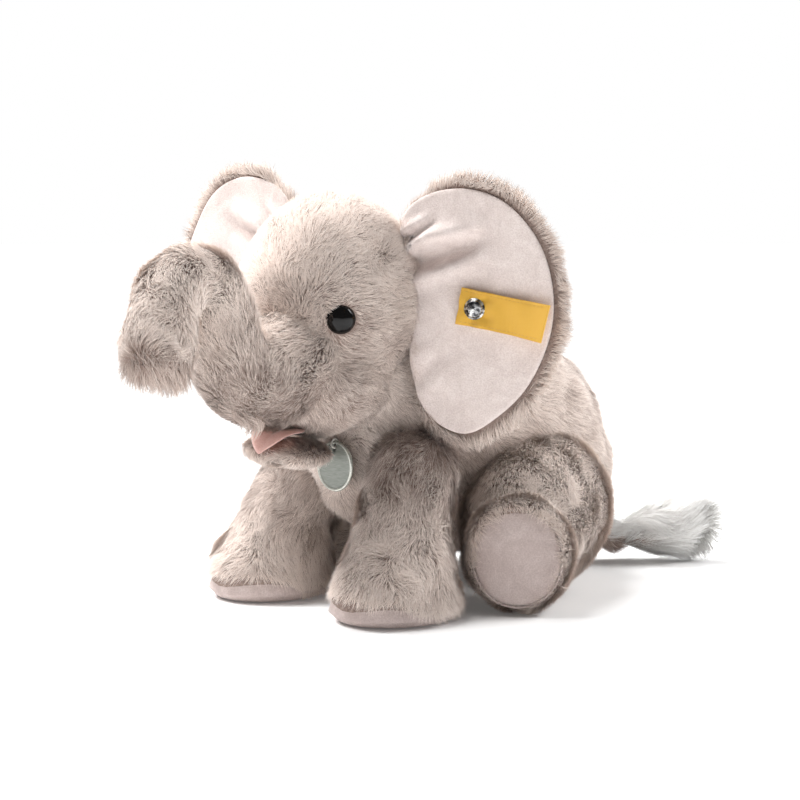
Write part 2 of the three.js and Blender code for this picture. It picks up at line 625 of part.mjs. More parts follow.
const discTurn = new THREE.Quaternion().setFromAxisAngle(
  new THREE.Vector3(1, 0, 0), THREE.MathUtils.degToRad(DISC.tilt));
const discPlace = (geometry) => geometry.applyQuaternion(discTurn).translate(...DISC.at);
const discGeometry = new THREE.CylinderGeometry(DISC.r, DISC.r, DISC.thick, 32);
const discHole = DISC.r - DISC.holeIn;
const eyelet = new THREE.CylinderGeometry(DISC.hole, DISC.hole, 10, 14)
  .translate(0, 0, discHole);
const discSolid = toSolid(discPlace(discGeometry)).subtract(toSolid(discPlace(eyelet)));
addPiece('chest_disc', discSolid, SATIN());
const cordLoop = new THREE.TorusGeometry(CORD.loop, CORD.r, 6, 16);
cordLoop.rotateY(Math.PI / 2);
cordLoop.translate(0, 0, discHole + CORD.rise);
addPiece('disc_cord', toSolid(discPlace(cordLoop)), CORD_CLOTH());

export default elephant;
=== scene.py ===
# %% [markdown]
# # A seated stuffed elephant in long plush
# The toy is sewn from fur fabric over soft filling, with smooth velour in its ears and on its soles.
# Fur can be made with particle hair, with shells of transparent cards, or with real ribbons.
# Real ribbons are used here, because they stay as geometry wherever the model goes.

# %% Load the frame and keep its box
import math
import bpy
import numpy as np
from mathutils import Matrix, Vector
from mathutils.bvhtree import BVHTree


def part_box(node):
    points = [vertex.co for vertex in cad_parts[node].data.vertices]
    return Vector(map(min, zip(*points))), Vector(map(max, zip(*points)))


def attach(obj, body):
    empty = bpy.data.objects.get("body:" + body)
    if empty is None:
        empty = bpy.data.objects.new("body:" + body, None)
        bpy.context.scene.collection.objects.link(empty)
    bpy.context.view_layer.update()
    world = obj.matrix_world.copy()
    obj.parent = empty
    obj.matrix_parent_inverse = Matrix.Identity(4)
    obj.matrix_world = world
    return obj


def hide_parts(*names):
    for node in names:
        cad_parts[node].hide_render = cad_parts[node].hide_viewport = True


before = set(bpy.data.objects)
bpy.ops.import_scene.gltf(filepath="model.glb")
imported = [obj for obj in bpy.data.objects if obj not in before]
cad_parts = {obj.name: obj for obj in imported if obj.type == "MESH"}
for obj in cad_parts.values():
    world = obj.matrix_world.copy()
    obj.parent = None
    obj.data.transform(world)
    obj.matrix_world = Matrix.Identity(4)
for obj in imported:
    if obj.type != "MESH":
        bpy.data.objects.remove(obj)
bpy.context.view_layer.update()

# %% [markdown]
# ## Places and units
# The pattern is written in millimetres about the middle of the front feet, and moved into the frame.
# The head is turned a little to its left and tipped, so its pieces go through one more turn.

# %% Places
MM = 0.001
SHIFT = np.array([6.1, -45.7, 0.0])
HEAD_AT = np.array([0.0, -2.0, 150.0])
HEAD_YAW, HEAD_ROLL = math.radians(10), math.radians(3.5)
EAR_ROOT = np.array([44.0, 8.0, 0.0])
EAR_BACK = {"left": math.radians(15), "right": math.radians(4)}


def turn_z(a):
    return np.array([[math.cos(a), -math.sin(a), 0], [math.sin(a), math.cos(a), 0], [0, 0, 1]])


def turn_y(a):
    return np.array([[math.cos(a), 0, math.sin(a)], [0, 1, 0], [-math.sin(a), 0, math.cos(a)]])


HEAD_TURN = turn_z(HEAD_YAW) @ turn_y(HEAD_ROLL)


def in_frame(p):
    return (np.asarray(p, float) + SHIFT) * MM


def in_head(p):
    return in_frame((np.asarray(p, float) - HEAD_AT) @ HEAD_TURN.T + HEAD_AT)


def mirrored(p):
    return np.asarray(p, float) * np.array([-1.0, 1.0, 1.0])


def in_ear(side):
    def place(p):
        turned = (np.asarray(p, float) - EAR_ROOT) @ turn_z(EAR_BACK[side]).T + EAR_ROOT
        return in_head(turned if side == "left" else mirrored(turned))
    return place


def in_right(p):
    return in_frame(mirrored(p))


print("head turned", round(math.degrees(HEAD_YAW), 1), "and tipped", round(math.degrees(HEAD_ROLL), 1))

# %% [markdown]
# ## Camera, light and floor
# The toy stands on a pale floor in the soft light of a studio. A dome of light alone would leave it
# flat, so a wide overhead light does most of the work, and two round softboxes shape the sides.
# The lens is fairly long, so the toy looks unstretched.

# %% Camera
scene = bpy.context.scene
VIEW_AZIMUTH, VIEW_HEIGHT, VIEW_DISTANCE = math.radians(45), math.radians(5), 0.975
aim = Vector((0.0299, -0.0222, 0.107))
back = Vector((math.sin(VIEW_AZIMUTH) * math.cos(VIEW_HEIGHT),
               -math.cos(VIEW_AZIMUTH) * math.cos(VIEW_HEIGHT), math.sin(VIEW_HEIGHT)))
camera = bpy.data.objects.new("camera", bpy.data.cameras.new("camera"))
camera.data.lens = 85
camera.location = aim + back * VIEW_DISTANCE
camera.rotation_euler = (-back).to_track_quat("-Z", "Y").to_euler()
scene.collection.objects.link(camera)
scene.camera = camera
scene.view_settings.view_transform = "Standard"

# %% Lamps
LAMPS_AIM = Vector((0.0, -0.03, 0.11))


def shining(name, kind, towards, **settings):
    light = bpy.data.lights.new(name, kind)
    for setting, value in settings.items():
        setattr(light, setting, value)
    thing = bpy.data.objects.new(name, light)
    thing.rotation_euler = Vector(towards).to_track_quat("-Z", "Y").to_euler()
    scene.collection.objects.link(thing)
    return thing


def softbox(name, place, size, power):
    thing = shining(name, "AREA", LAMPS_AIM - Vector(place), shape="DISK", size=size, energy=power)
    thing.location = place


softbox("left_softbox", (-0.95, -0.45, 1.15), 0.6, 20)
softbox("right_softbox", (0.70, 0.95, 0.95), 0.7, 16)
shining("overhead_light", "SUN", (0.40, 0.20, -1.0), energy=3.75, angle=math.radians(40))
print("lamps:", len(bpy.data.lights))

# %% Studio walls
world = bpy.data.worlds.new("studio")
scene.world = world
world.use_nodes = True
wn, wl = world.node_tree.nodes, world.node_tree.links
wn.clear()
path = wn.new("ShaderNodeLightPath")
soft = wn.new("ShaderNodeBackground")
soft.inputs["Strength"].default_value = 0.17
seen = wn.new("ShaderNodeBackground")
seen.inputs["Color"].default_value = (1, 1, 1, 1)
pick = wn.new("ShaderNodeMixShader")
sky = wn.new("ShaderNodeOutputWorld")
wl.new(path.outputs["Is Camera Ray"], pick.inputs["Fac"])
wl.new(soft.outputs[0], pick.inputs[1])
wl.new(seen.outputs[0], pick.inputs[2])
wl.new(pick.outputs[0], sky.inputs["Surface"])

# %% Floor
FLOOR_REACH = 30.0
FLOOR_LOOK = {"Base Color": (0.93, 0.93, 0.93, 1), "Roughness": 0.9,
              "Emission Color": (1, 1, 1, 1), "Emission Strength": 0.06}
floor_mesh = bpy.data.meshes.new("floor")
corners = [(x * FLOOR_REACH, y * FLOOR_REACH, 0) for x, y in ((-1, -1), (1, -1), (1, 1), (-1, 1))]
floor_mesh.from_pydata(corners, [], [(0, 1, 2, 3)])
floor = bpy.data.objects.new("floor", floor_mesh)
scene.collection.objects.link(floor)
floor_finish = bpy.data.materials.new("floor")
floor_finish.use_nodes = True
for socket, value in FLOOR_LOOK.items():
    floor_finish.node_tree.nodes["Principled BSDF"].inputs[socket].default_value = value
floor_mesh.materials.append(floor_finish)
print("camera at", [round(c, 3) for c in camera.location])

# %% [markdown]
# ## The pattern
# Every limb is a row of rounded cuts along a bent line: place, half width and half depth.

# %% Pattern of the limbs
TRUNK = [(0, -34, 128, 30, 30), (0, -57, 123, 27, 26), (0, -75, 126, 22, 21), (0, -85, 139, 18.5, 18),
         (0, -92, 156, 17, 16.5), (0, -101, 168, 16.5, 16), (0, -113, 172, 16, 15),
         (1, -125, 167.5, 16, 15), (3.5, -134, 157, 16.5, 15.5), (7, -140.5, 146, 16.5, 16),
         (11, -145.5, 136.5, 15.5, 15)]
BODY = [(0, 152, 56, 52, 46), (0, 134, 67, 59, 60), (0, 108, 86, 59, 59), (0, 74, 102, 54, 53),
        (0, 42, 112, 45, 44), (0, 18, 118, 36, 34)]
FRONT_LEG = [(37, 21, 74, 21, 23), (39, 14, 58, 22, 24), (43, 6, 43, 23, 24), (46, 1, 24, 28, 30),
             (47, -2, 12, 31, 36), (47, -2, 3, 30, 35)]
HIND_LEG = [(46, 106, 46, 40, 42), (60, 82, 41, 35, 38), (73, 62, 33, 29, 31), (83, 49, 31, 28, 30),
            (88, 43, 30.4, 26, 29)]
TAIL = [(0, 184, 28, 9, 9), (8, 197, 19, 8, 8), (18, 207, 14, 7.5, 7.5)]
TUFT = [(21.5, 210, 13.6, 7, 7), (31, 219, 17, 14, 13.5), (42, 229, 20, 16, 15), (52, 238, 23, 10, 9)]
SKULL = ((0, -2, 159.5), (47, 49, 55))
MUZZLE = ((0, -16, 118), (40, 38, 27))
CHEST = ((0, 30, 84), (36, 37, 44))
PILE = 1.0


def smooth_line(points, steps):
    p = np.asarray(points, float)
    p = np.vstack([2 * p[0] - p[1], p, 2 * p[-1] - p[-2]])
    u = np.linspace(0, len(points) - 1, steps + 1)
    k = np.minimum(u.astype(int), len(points) - 2)
    t = (u - k)[:, None]
    a, b, c, d = p[k], p[k + 1], p[k + 2], p[k + 3]
    return 0.5 * (2 * b + (c - a) * t + (2 * a - 5 * b + 4 * c - d) * t ** 2
                  + (3 * b - a - 3 * c + d) * t ** 3)


def inward(points, faces):
    """Tells whether a closed skin has its faces turned inside out, by the sign of its volume."""
    points = np.asarray(points)
    total = 0.0
    for face in faces:
        a = points[face[0]]
        for i in range(1, len(face) - 1):
            total += a @ np.cross(points[face[i]], points[face[i + 1]])
    return total < 0


def outward(points, faces):
    """The same skin with its faces turned to the outside."""
    points = np.asarray(points, float)
    return points, [tuple(reversed(face)) for face in faces] if inward(points, faces) else faces


def ring_faces(rings, around, turned=False):
    """The faces of a closed skin: a first pole, rings of points, and a last pole."""
    faces, last = [], 1 + rings * around
    for k in range(around):
        j = (k + 1) % around
        near, far = (k, j) if turned else (j, k)
        faces.append((0, 1 + near, 1 + far))
        for r in range(rings - 1):
            a = 1 + r * around
            b = a + around
            faces.append((a + k, b + k, b + j, a + j) if turned else (a + k, a + j, b + j, b + k))
        b = 1 + (rings - 1) * around
        faces.append((last, b + far, b + near))
    return faces

# %% [markdown]
# ### Limbs and eggs
# A stuffed limb could be swept with Blender's curve bevel, but its section changes in width and
# depth along the way. So rings of points are laid square to the bent line and joined up. A head or
# a chest is an egg: a ball with three different half widths.

# %% Limbs
def limb(stations, grow=0.0, around=40, steps=48, cap_start=1.0, cap_end=1.0):
    line = smooth_line(stations, steps)
    centre, half = line[:, :3], line[:, 3:] + grow
    way = np.gradient(centre, axis=0)
    way /= np.linalg.norm(way, axis=1)[:, None]
    rings = []
    turns = np.linspace(0, 2 * math.pi, around, endpoint=False)

    def ring(c, t, h, scale):
        side = np.array([1.0, 0, 0]) if abs(t[0]) < 0.3 else np.array([-t[1], t[0], 0.0])
        side *= 1 if side[0] > 0 else -1
        side -= t * side.dot(t)
        side /= np.linalg.norm(side)
        up = np.cross(t, side)
        return (c + np.outer(np.cos(turns) * h[0] * scale, side)
                + np.outer(np.sin(turns) * h[1] * scale, up))
    caps = [math.radians(d) for d in (80, 68, 56, 44, 32, 20, 10)]
    for a in caps:
        rings.append(ring(centre[0] - way[0] * math.sin(a) * min(half[0]) * cap_start,
                          way[0], half[0], math.cos(a)))
    for i in range(len(centre)):
        rings.append(ring(centre[i], way[i], half[i], 1.0))
    for a in reversed(caps):
        rings.append(ring(centre[-1] + way[-1] * math.sin(a) * min(half[-1]) * cap_end,
                          way[-1], half[-1], math.cos(a)))
    points = [centre[0] - way[0] * min(half[0]) * cap_start]
    points += [p for r in rings for p in r]
    points.append(centre[-1] + way[-1] * min(half[-1]) * cap_end)
    return outward(points, ring_faces(len(rings), around))


print("trunk skin has", len(limb(TRUNK)[1]), "faces before it is softened")

# %% Eggs and stacks
def egg(at, r, grow=0.0, around=40, high=24):
    points = [(0, 0, -1)]
    for i in range(1, high):
        a = math.pi * i / high
        for k in range(around):
            b = 2 * math.pi * k / around
            points.append((math.sin(a) * math.cos(b), math.sin(a) * math.sin(b), -math.cos(a)))
    points.append((0, 0, 1))
    return outward(np.array(points) * (np.array(r) + grow) + np.array(at), ring_faces(high - 1, around))


def stack(*shapes):
    points, faces, start = [], [], 0
    for p, f in shapes:
        points.append(p)
        faces += [tuple(i + start for i in face) for face in f]
        start += len(p)
    return np.vstack(points), faces


print("head egg has", len(egg(*SKULL)[1]), "faces")

# %% Pieces
def piece(name, points, faces, finish=None, closed=True):
    """A mesh object. A closed one always gets its faces turned to the outside."""
    mesh = bpy.data.meshes.new(name)
    if closed and inward(points, faces):
        faces = [tuple(reversed(face)) for face in faces]
    mesh.from_pydata([tuple(p) for p in points], [], faces)
    mesh.update()
    mesh.shade_smooth()
    thing = bpy.data.objects.new(name, mesh)
    scene.collection.objects.link(thing)
    if finish:
        mesh.materials.append(finish)
    return thing


def applied(thing):
    graph = bpy.context.evaluated_depsgraph_get()
    made = bpy.data.meshes.new_from_object(thing.evaluated_get(graph))
    thing.modifiers.clear()
    old = thing.data
    thing.data = made
    bpy.data.meshes.remove(old)
    made.shade_smooth()
    return thing


SKIN_VOXEL, SOFTENING_ROUNDS = 2.5, 10


def melted(thing):
    """Joins overlapping rounded shapes into one skin and softens the creases between them."""
    remesh = thing.modifiers.new("one skin", "REMESH")
    remesh.mode = "VOXEL"
    remesh.voxel_size = SKIN_VOXEL * MM
    soften = thing.modifiers.new("soft creases", "SMOOTH")
    soften.factor = 0.5
    soften.iterations = SOFTENING_ROUNDS
    return applied(thing)


def joined(thing, body, stands_for):
    """Sews a piece to its body and hides the cuts it stands for."""
    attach(thing, body)
    if stands_for:
        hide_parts(*stands_for)
    return thing


print("limbs have", [len(row) for row in (TRUNK, BODY, FRONT_LEG, HIND_LEG, TAIL)], "stations")

# %% [markdown]
# ## Finishes
# Plush looks darker at the roots and frosted at the tips: partly its own two tones, partly painted shade
# between the hairs.
# Each ribbon carries its own tone across its map and its height up the map, so one small pattern
# of colours serves every hair. A few helpers come first, because every finish is a pattern that
# goes through tones to a socket.

# %% Finish helpers
def finish(name, rough=0.8, colour=(0.5, 0.5, 0.5), **constants):
    made = bpy.data.materials.new(name)
    made.use_nodes = True
    shader = made.node_tree.nodes["Principled BSDF"]
    shader.inputs["Base Color"].default_value = (*colour, 1)
    shader.inputs["Roughness"].default_value = rough
    for socket, value in constants.items():
        shader.inputs[socket.replace("_", " ")].default_value = value
    return made, shader


def tree_of(made):
    """A material keeps its nodes in a tree of its own, and a node group is such a tree."""
    return getattr(made, "node_tree", made)


def add(made, kind, **values):
    node = tree_of(made).nodes.new(kind)
    for key, value in values.items():
        setattr(node, key, value)
    return node


def join(made, a, b):
    tree_of(made).links.new(a, b)


def ramp(made, stops):
    node = add(made, "ShaderNodeValToRGB")
    band = node.color_ramp
    while len(band.elements) < len(stops):
        band.elements.new(0.5)
    for element, (at, colour) in zip(band.elements, stops):
        element.position = at
        element.color = (*colour, 1) if isinstance(colour, tuple) else (colour, colour, colour, 1)
    return node


def toned(made, pattern, socket, *stops):
    """Sends a pattern through a row of tones to one socket of the finish."""
    shades = ramp(made, stops)
    join(made, pattern, shades.inputs[0])
    join(made, shades.outputs[0], made.node_tree.nodes["Principled BSDF"].inputs[socket])


def embossed(made, pattern, strength, depth):
    """Raises a pattern from the surface, by a depth in metres."""
    bump = add(made, "ShaderNodeBump")
    bump.inputs["Strength"].default_value = strength
    bump.inputs["Distance"].default_value = depth
    join(made, pattern, bump.inputs["Height"])
    join(made, bump.outputs[0], made.node_tree.nodes["Principled BSDF"].inputs["Normal"])


print("finish helpers ready")

# %% Node group helpers
NUMBER, PLACE, COLOUR = "NodeSocketFloat", "NodeSocketVector", "NodeSocketColor"


def effect(name, inputs, outputs):
    """An empty node group with named sockets: {label: (kind, value)} in, {label: kind} out."""
    made = bpy.data.node_groups.new(name, "ShaderNodeTree")
    for label, (kind, value) in inputs.items():
        socket = made.interface.new_socket(label, in_out="INPUT", socket_type=kind)
        socket.default_value = value
    for label, kind in outputs.items():
        made.interface.new_socket(label, in_out="OUTPUT", socket_type=kind)
    return made, add(made, "NodeGroupInput").outputs, add(made, "NodeGroupOutput").inputs


def placed(made, group, **values):
    """A node group in a material, with that material's own values on its sockets."""
    node = add(made, "ShaderNodeGroup", node_tree=group)
    for label, value in values.items():
        socket = node.inputs[label.replace("_", " ")]
        socket.default_value = (*value, 1) if socket.type == "RGBA" else value
    return node


def three_tones(made, at, low, middle, high, first, second, third):
    """first at low, second at middle and third at high, mixed evenly between them."""
    colour = first
    for begin, end, next_one in ((low, middle, second), (middle, high, third)):
        part = add(made, "ShaderNodeMapRange")
        join(made, at, part.inputs["Value"])
        for label, value in (("From Min", begin), ("From Max", end)):
            if isinstance(value, float):
                part.inputs[label].default_value = value
            else:
                join(made, value, part.inputs[label])
        mix = add(made, "ShaderNodeMix", data_type="RGBA")
        join(made, part.outputs[0], mix.inputs["Factor"])
        join(made, colour, mix.inputs["A"])
        join(made, next_one, mix.inputs["B"])
        colour = mix.outputs["Result"]
    return colour

# %% [markdown]
# ### Three shared effects
# Fine grain, cut pile and the tones of a hair each turn up in several finishes. Each could be
# copied from material to material, but then a change would have to be made in every copy. As
# node groups they are built once, and a material only gives them its own sizes and colours.

# %% Fine grain
def fine_grain():
    made, given, gives = effect(
        "fine_grain",
        {"Vector": (PLACE, (0, 0, 0)), "Stretch": (PLACE, (1, 1, 1)), "Scale": (NUMBER, 700),
         "Detail": (NUMBER, 2)}, {"Fac": NUMBER})
    squeeze = add(made, "ShaderNodeVectorMath", operation="MULTIPLY")
    noise = add(made, "ShaderNodeTexNoise")
    join(made, given["Vector"], squeeze.inputs[0])
    join(made, given["Stretch"], squeeze.inputs[1])
    join(made, squeeze.outputs[0], noise.inputs["Vector"])
    join(made, given["Scale"], noise.inputs["Scale"])
    join(made, given["Detail"], noise.inputs["Detail"])
    join(made, noise.outputs["Fac"], gives["Fac"])
    return made


FINE_GRAIN = fine_grain()


def grain(made, scale, detail=2.0, stretch=(1, 1, 1)):
    """Fine grain measured on the piece itself, so that its size is true."""
    place = add(made, "ShaderNodeTexCoord")
    node = placed(made, FINE_GRAIN, Scale=scale, Detail=detail, Stretch=stretch)
    join(made, place.outputs["Object"], node.inputs["Vector"])
    return node


print("effect:", FINE_GRAIN.name)

# %% Cut pile
def cut_pile():
    """A fine speckle, broad patches where the nap has been stroked, and three tones for them."""
    made, given, gives = effect(
        "cut_pile",
        {"Vector": (PLACE, (0, 0, 0)), "Fine": (NUMBER, 1400), "Nap": (NUMBER, 90),
         "Deep": (COLOUR, (0.4, 0.4, 0.4, 1)), "Middle": (COLOUR, (0.5, 0.5, 0.5, 1)),
         "Pale": (COLOUR, (0.6, 0.6, 0.6, 1))}, {"Color": COLOUR, "Height": NUMBER})
    speckle = add(made, "ShaderNodeTexNoise")
    speckle.inputs["Detail"].default_value = 3
    stroked = add(made, "ShaderNodeTexNoise")
    stroked.inputs["Detail"].default_value = 4
    stroked.inputs["Distortion"].default_value = 1.2
    blend = add(made, "ShaderNodeMix", data_type="FLOAT")
    blend.inputs["Factor"].default_value = 0.45
    for noise, size, slot in ((speckle, "Fine", "A"), (stroked, "Nap", "B")):
        join(made, given["Vector"], noise.inputs["Vector"])
        join(made, given[size], noise.inputs["Scale"])
        join(made, noise.outputs["Fac"], blend.inputs[slot])
    colour = three_tones(made, blend.outputs["Result"], 0.32, 0.5, 0.68,
                         given["Deep"], given["Middle"], given["Pale"])
    join(made, colour, gives["Color"])
    join(made, blend.outputs["Result"], gives["Height"])
    return made


CUT_PILE = cut_pile()
print("effect:", CUT_PILE.name)

# %% Hair tones
def hair_tones():
    """Up runs from root to tip, and Tone from the darkest hair to the palest. The darker roots are partly
    the plush's own two tones and partly painted shade between the hairs; Tone carries painted light and
    shade as well as each hair's own tone.
    """
    tones = [f"{shade} {part}" for shade in ("Dark", "Pale") for part in ("root", "middle", "tip")]
    made, given, gives = effect(
        "hair_tones",
        {"Up": (NUMBER, 0.5), "Tone": (NUMBER, 0.5), "Dark middle at": (NUMBER, 0.5),
         "Pale middle at": (NUMBER, 0.45), **{name: (COLOUR, (0.5, 0.5, 0.5, 1)) for name in tones}},
        {"Color": COLOUR})
    mix = add(made, "ShaderNodeMix", data_type="RGBA")
    join(made, given["Tone"], mix.inputs["Factor"])
    for slot, shade in (("A", "Dark"), ("B", "Pale")):
        colour = three_tones(made, given["Up"], 0.0, given[f"{shade} middle at"], 1.0,
                             given[f"{shade} root"], given[f"{shade} middle"], given[f"{shade} tip"])
        join(made, colour, mix.inputs[slot])
    join(made, mix.outputs["Result"], gives["Color"])
    return made


HAIR_TONES = hair_tones()
print("effect:", HAIR_TONES.name)

# %% [markdown]
# ### Fur and velour
# Hair gets only tones, because its shape is real. The knitted backing shows between the hairs, and is
# painted dark for the shade that falls there. Velour, felt, cord and wadding are all short pile, and differ
# in grain and colour.

# %% Fur finishes
CLOTH_RELIEF = 0.0008


def pile_finish(name, dark, pale, middles, rough=0.9, sheen=0.25):
    """dark and pale are the root, middle and tip colours of the darkest and the palest hair."""
    made, shader = finish(name, rough, pale[-1], Sheen_Weight=sheen, Sheen_Roughness=0.5,
                          Specular_IOR_Level=0.15)
    chart = add(made, "ShaderNodeUVMap", uv_map="OFBake")
    split = add(made, "ShaderNodeSeparateXYZ")
    tones = placed(made, HAIR_TONES, Dark_root=dark[0], Dark_middle=dark[1], Dark_tip=dark[2],
                   Pale_root=pale[0], Pale_middle=pale[1], Pale_tip=pale[2],
                   Dark_middle_at=middles[0], Pale_middle_at=middles[1])
    join(made, chart.outputs["UV"], split.inputs[0])
    join(made, split.outputs["Y"], tones.inputs["Up"])
    join(made, split.outputs["X"], tones.inputs["Tone"])
    join(made, tones.outputs["Color"], shader.inputs["Base Color"])
    return made


# Both furs are darker at the roots than at the tips: partly the plush's own two tones, partly painted shade
# between the hairs.
FUR = pile_finish(
    "elephant_fur", [(0.17, 0.112, 0.092), (0.29, 0.205, 0.172), (0.46, 0.35, 0.30)],
    [(0.50, 0.38, 0.325), (0.84, 0.715, 0.64), (0.98, 0.885, 0.815)], (0.5, 0.45))
TUFT_FUR = pile_finish(
    "tuft_fur", [(0.30, 0.26, 0.235), (0.60, 0.58, 0.55), (0.86, 0.85, 0.825)],
    [(0.55, 0.51, 0.48), (0.92, 0.91, 0.885), (1.0, 0.995, 0.98)], (0.3, 0.3))


# The backing is painted darker than the hairs, as the shade that falls between them; its weave is real
# grain.
SHADED_BACKING, _ = finish("fur_backing_shaded", 0.95, (0.32, 0.245, 0.21), Specular_IOR_Level=0.1)
weave = grain(SHADED_BACKING, 700).outputs["Fac"]
toned(SHADED_BACKING, weave, "Base Color", (0.3, (0.26, 0.19, 0.165)), (0.7, (0.40, 0.31, 0.27)))
embossed(SHADED_BACKING, weave, 1.0, CLOTH_RELIEF)
print("fur finishes:", FUR.name, TUFT_FUR.name, SHADED_BACKING.name)

# %% Velour, felt and wadding
def velour_finish(name, deep, mid, pale, fine=1400, nap=90, strength=0.9, sheen=0.35):
    made, shader = finish(name, 0.92, mid, Sheen_Weight=sheen, Sheen_Roughness=0.35,
                          Specular_IOR_Level=0.15)
    place = add(made, "ShaderNodeTexCoord")
    nap_node = placed(made, CUT_PILE, Fine=fine, Nap=nap, Deep=deep, Middle=mid, Pale=pale)
    join(made, place.outputs["Object"], nap_node.inputs["Vector"])
    join(made, nap_node.outputs["Color"], shader.inputs["Base Color"])
    embossed(made, nap_node.outputs["Height"], strength, CLOTH_RELIEF)
    return made


VELOUR = velour_finish("ear_velour", (0.70, 0.59, 0.555), (0.82, 0.71, 0.67), (0.94, 0.84, 0.80))
SOLE_VELOUR = velour_finish("sole_velour", (0.50, 0.40, 0.375), (0.60, 0.495, 0.465),
                            (0.72, 0.615, 0.585), strength=0.6)
SALMON = velour_finish("salmon_felt", (0.74, 0.42, 0.37), (0.88, 0.56, 0.50), (0.95, 0.68, 0.62),
                       fine=1800, strength=0.4)
FILLING = velour_finish("filling", (0.7, 0.69, 0.66), (0.82, 0.81, 0.78), (0.9, 0.89, 0.87), fine=400)
CORD_CLOTH = velour_finish("cord_cloth", (0.45, 0.44, 0.40), (0.6, 0.58, 0.53), (0.72, 0.70, 0.66))
print("finishes made:", len(bpy.data.materials))

# %% [markdown]
# ## Growing the pile
# Hairs are planted at random over a skin, lean the way the fur was brushed, swirl a little, and
# their tips gather into locks. Every hair is a thin ribbon of three facets.

# %% Swirls
def swirls(p, size, seed):
    """A smooth wandering direction for each point: a few slow waves added up."""
    rng = np.random.default_rng(seed)
    waves = rng.normal(size=(7, 3))
    waves *= (2 * math.pi / size) * rng.uniform(0.5, 1.3, (7, 1)) / np.linalg.norm(waves, axis=1)[:, None]
    phase = rng.uniform(0, 2 * math.pi, (7, 3))
    out = np.zeros_like(p)
    for w, f in zip(waves, phase):
        out += np.sin((p @ w)[:, None] + f)
    return out / math.sqrt(7 / 2)


def unit(v):
    return v / np.maximum(np.linalg.norm(v, axis=1), 1e-12)[:, None]


def lock_centres(p, size, seed):
    """The nearest of a set of scattered lock centres, for each point."""
    cell = np.floor(p / size).astype(np.int64)
    best, where = np.full(len(p), 1e9), np.zeros_like(p)
    for dx in (-1, 0, 1):
        for dy in (-1, 0, 1):
            for dz in (-1, 0, 1):
                c = cell + np.array([dx, dy, dz])
                h = (c * np.array([73856093, 19349663, 83492791])).sum(1) + seed * 7919
                jitter = np.stack([((h * k) % 10007) / 10007 for k in (1009, 3571, 7643)], axis=1)
                spot = (c + jitter) * size
                d = ((spot - p) ** 2).sum(1)
                near = d < best
                best[near], where[near] = d[near], spot[near]
    return where


def buried(points, others, deep=3.5):
    """Which points lie well inside another stuffed piece."""
    inside = np.zeros(len(points), bool)
    for other in others:
        tree = BVHTree.FromObject(other, bpy.context.evaluated_depsgraph_get())
        low = np.min([c[:] for c in other.bound_box], axis=0)
        high = np.max([c[:] for c in other.bound_box], axis=0)
        for i in np.nonzero(((points > low) & (points < high)).all(1))[0]:
            near, normal, _, far = tree.find_nearest(Vector(points[i]))
            if far > deep * MM and (Vector(points[i]) - near).dot(normal) < 0:
                inside[i] = True
    return inside


def spots_of(vertices, kind="co"):
    """The places, or the directions, of all the vertices of a mesh."""
    out = np.empty(len(vertices) * 3)
    vertices.foreach_get(kind, out)
    return out.reshape(-1, 3)


def planted(cloth, density, seed, keep=None, allowed=None, hidden=(), deep=3.5):
    """Random places on a skin, in millimetres, with their outward directions: density per square cm."""
    mesh = cloth.data
    mesh.calc_loop_triangles()
    v, n = spots_of(mesh.vertices) / MM, spots_of(mesh.vertices, "normal")
    tri = np.empty(len(mesh.loop_triangles) * 3, dtype=np.int32)
    mesh.loop_triangles.foreach_get("vertices", tri)
    tri = tri.reshape(-1, 3)
    a, b, c = v[tri[:, 0]], v[tri[:, 1]], v[tri[:, 2]]
    area = np.linalg.norm(np.cross(b - a, c - a), axis=1) / 2
    if hidden:
        shut = buried(v * MM, hidden, deep)
        area = area * ~(shut[tri].all(1))
    if allowed is not None:
        face = np.array([t.polygon_index for t in mesh.loop_triangles])
        area = area * allowed(face)
    count = int(area.sum() / 100 * density)
    rng = np.random.default_rng(seed)
    pick = rng.choice(len(tri), count, p=area / area.sum())
    r1, r2 = np.sqrt(rng.random((count, 1))), rng.random((count, 1))
    w = (1 - r1, r1 * (1 - r2), r1 * r2)
    p = sum(x * y for x, y in zip(w, (a[pick], b[pick], c[pick])))
    out = unit(sum(x * y for x, y in zip(w, (n[tri[pick, 0]], n[tri[pick, 1]], n[tri[pick, 2]]))))
    if keep is not None:
        ok = keep(p, out)
        p, out = p[ok], out[ok]
    return p, out, rng


print("planting is ready")

# %% Ribbons
FLOOR_CLEAR = 0.4
BEND_AT = np.array([0.0, 0.52, 1.0])


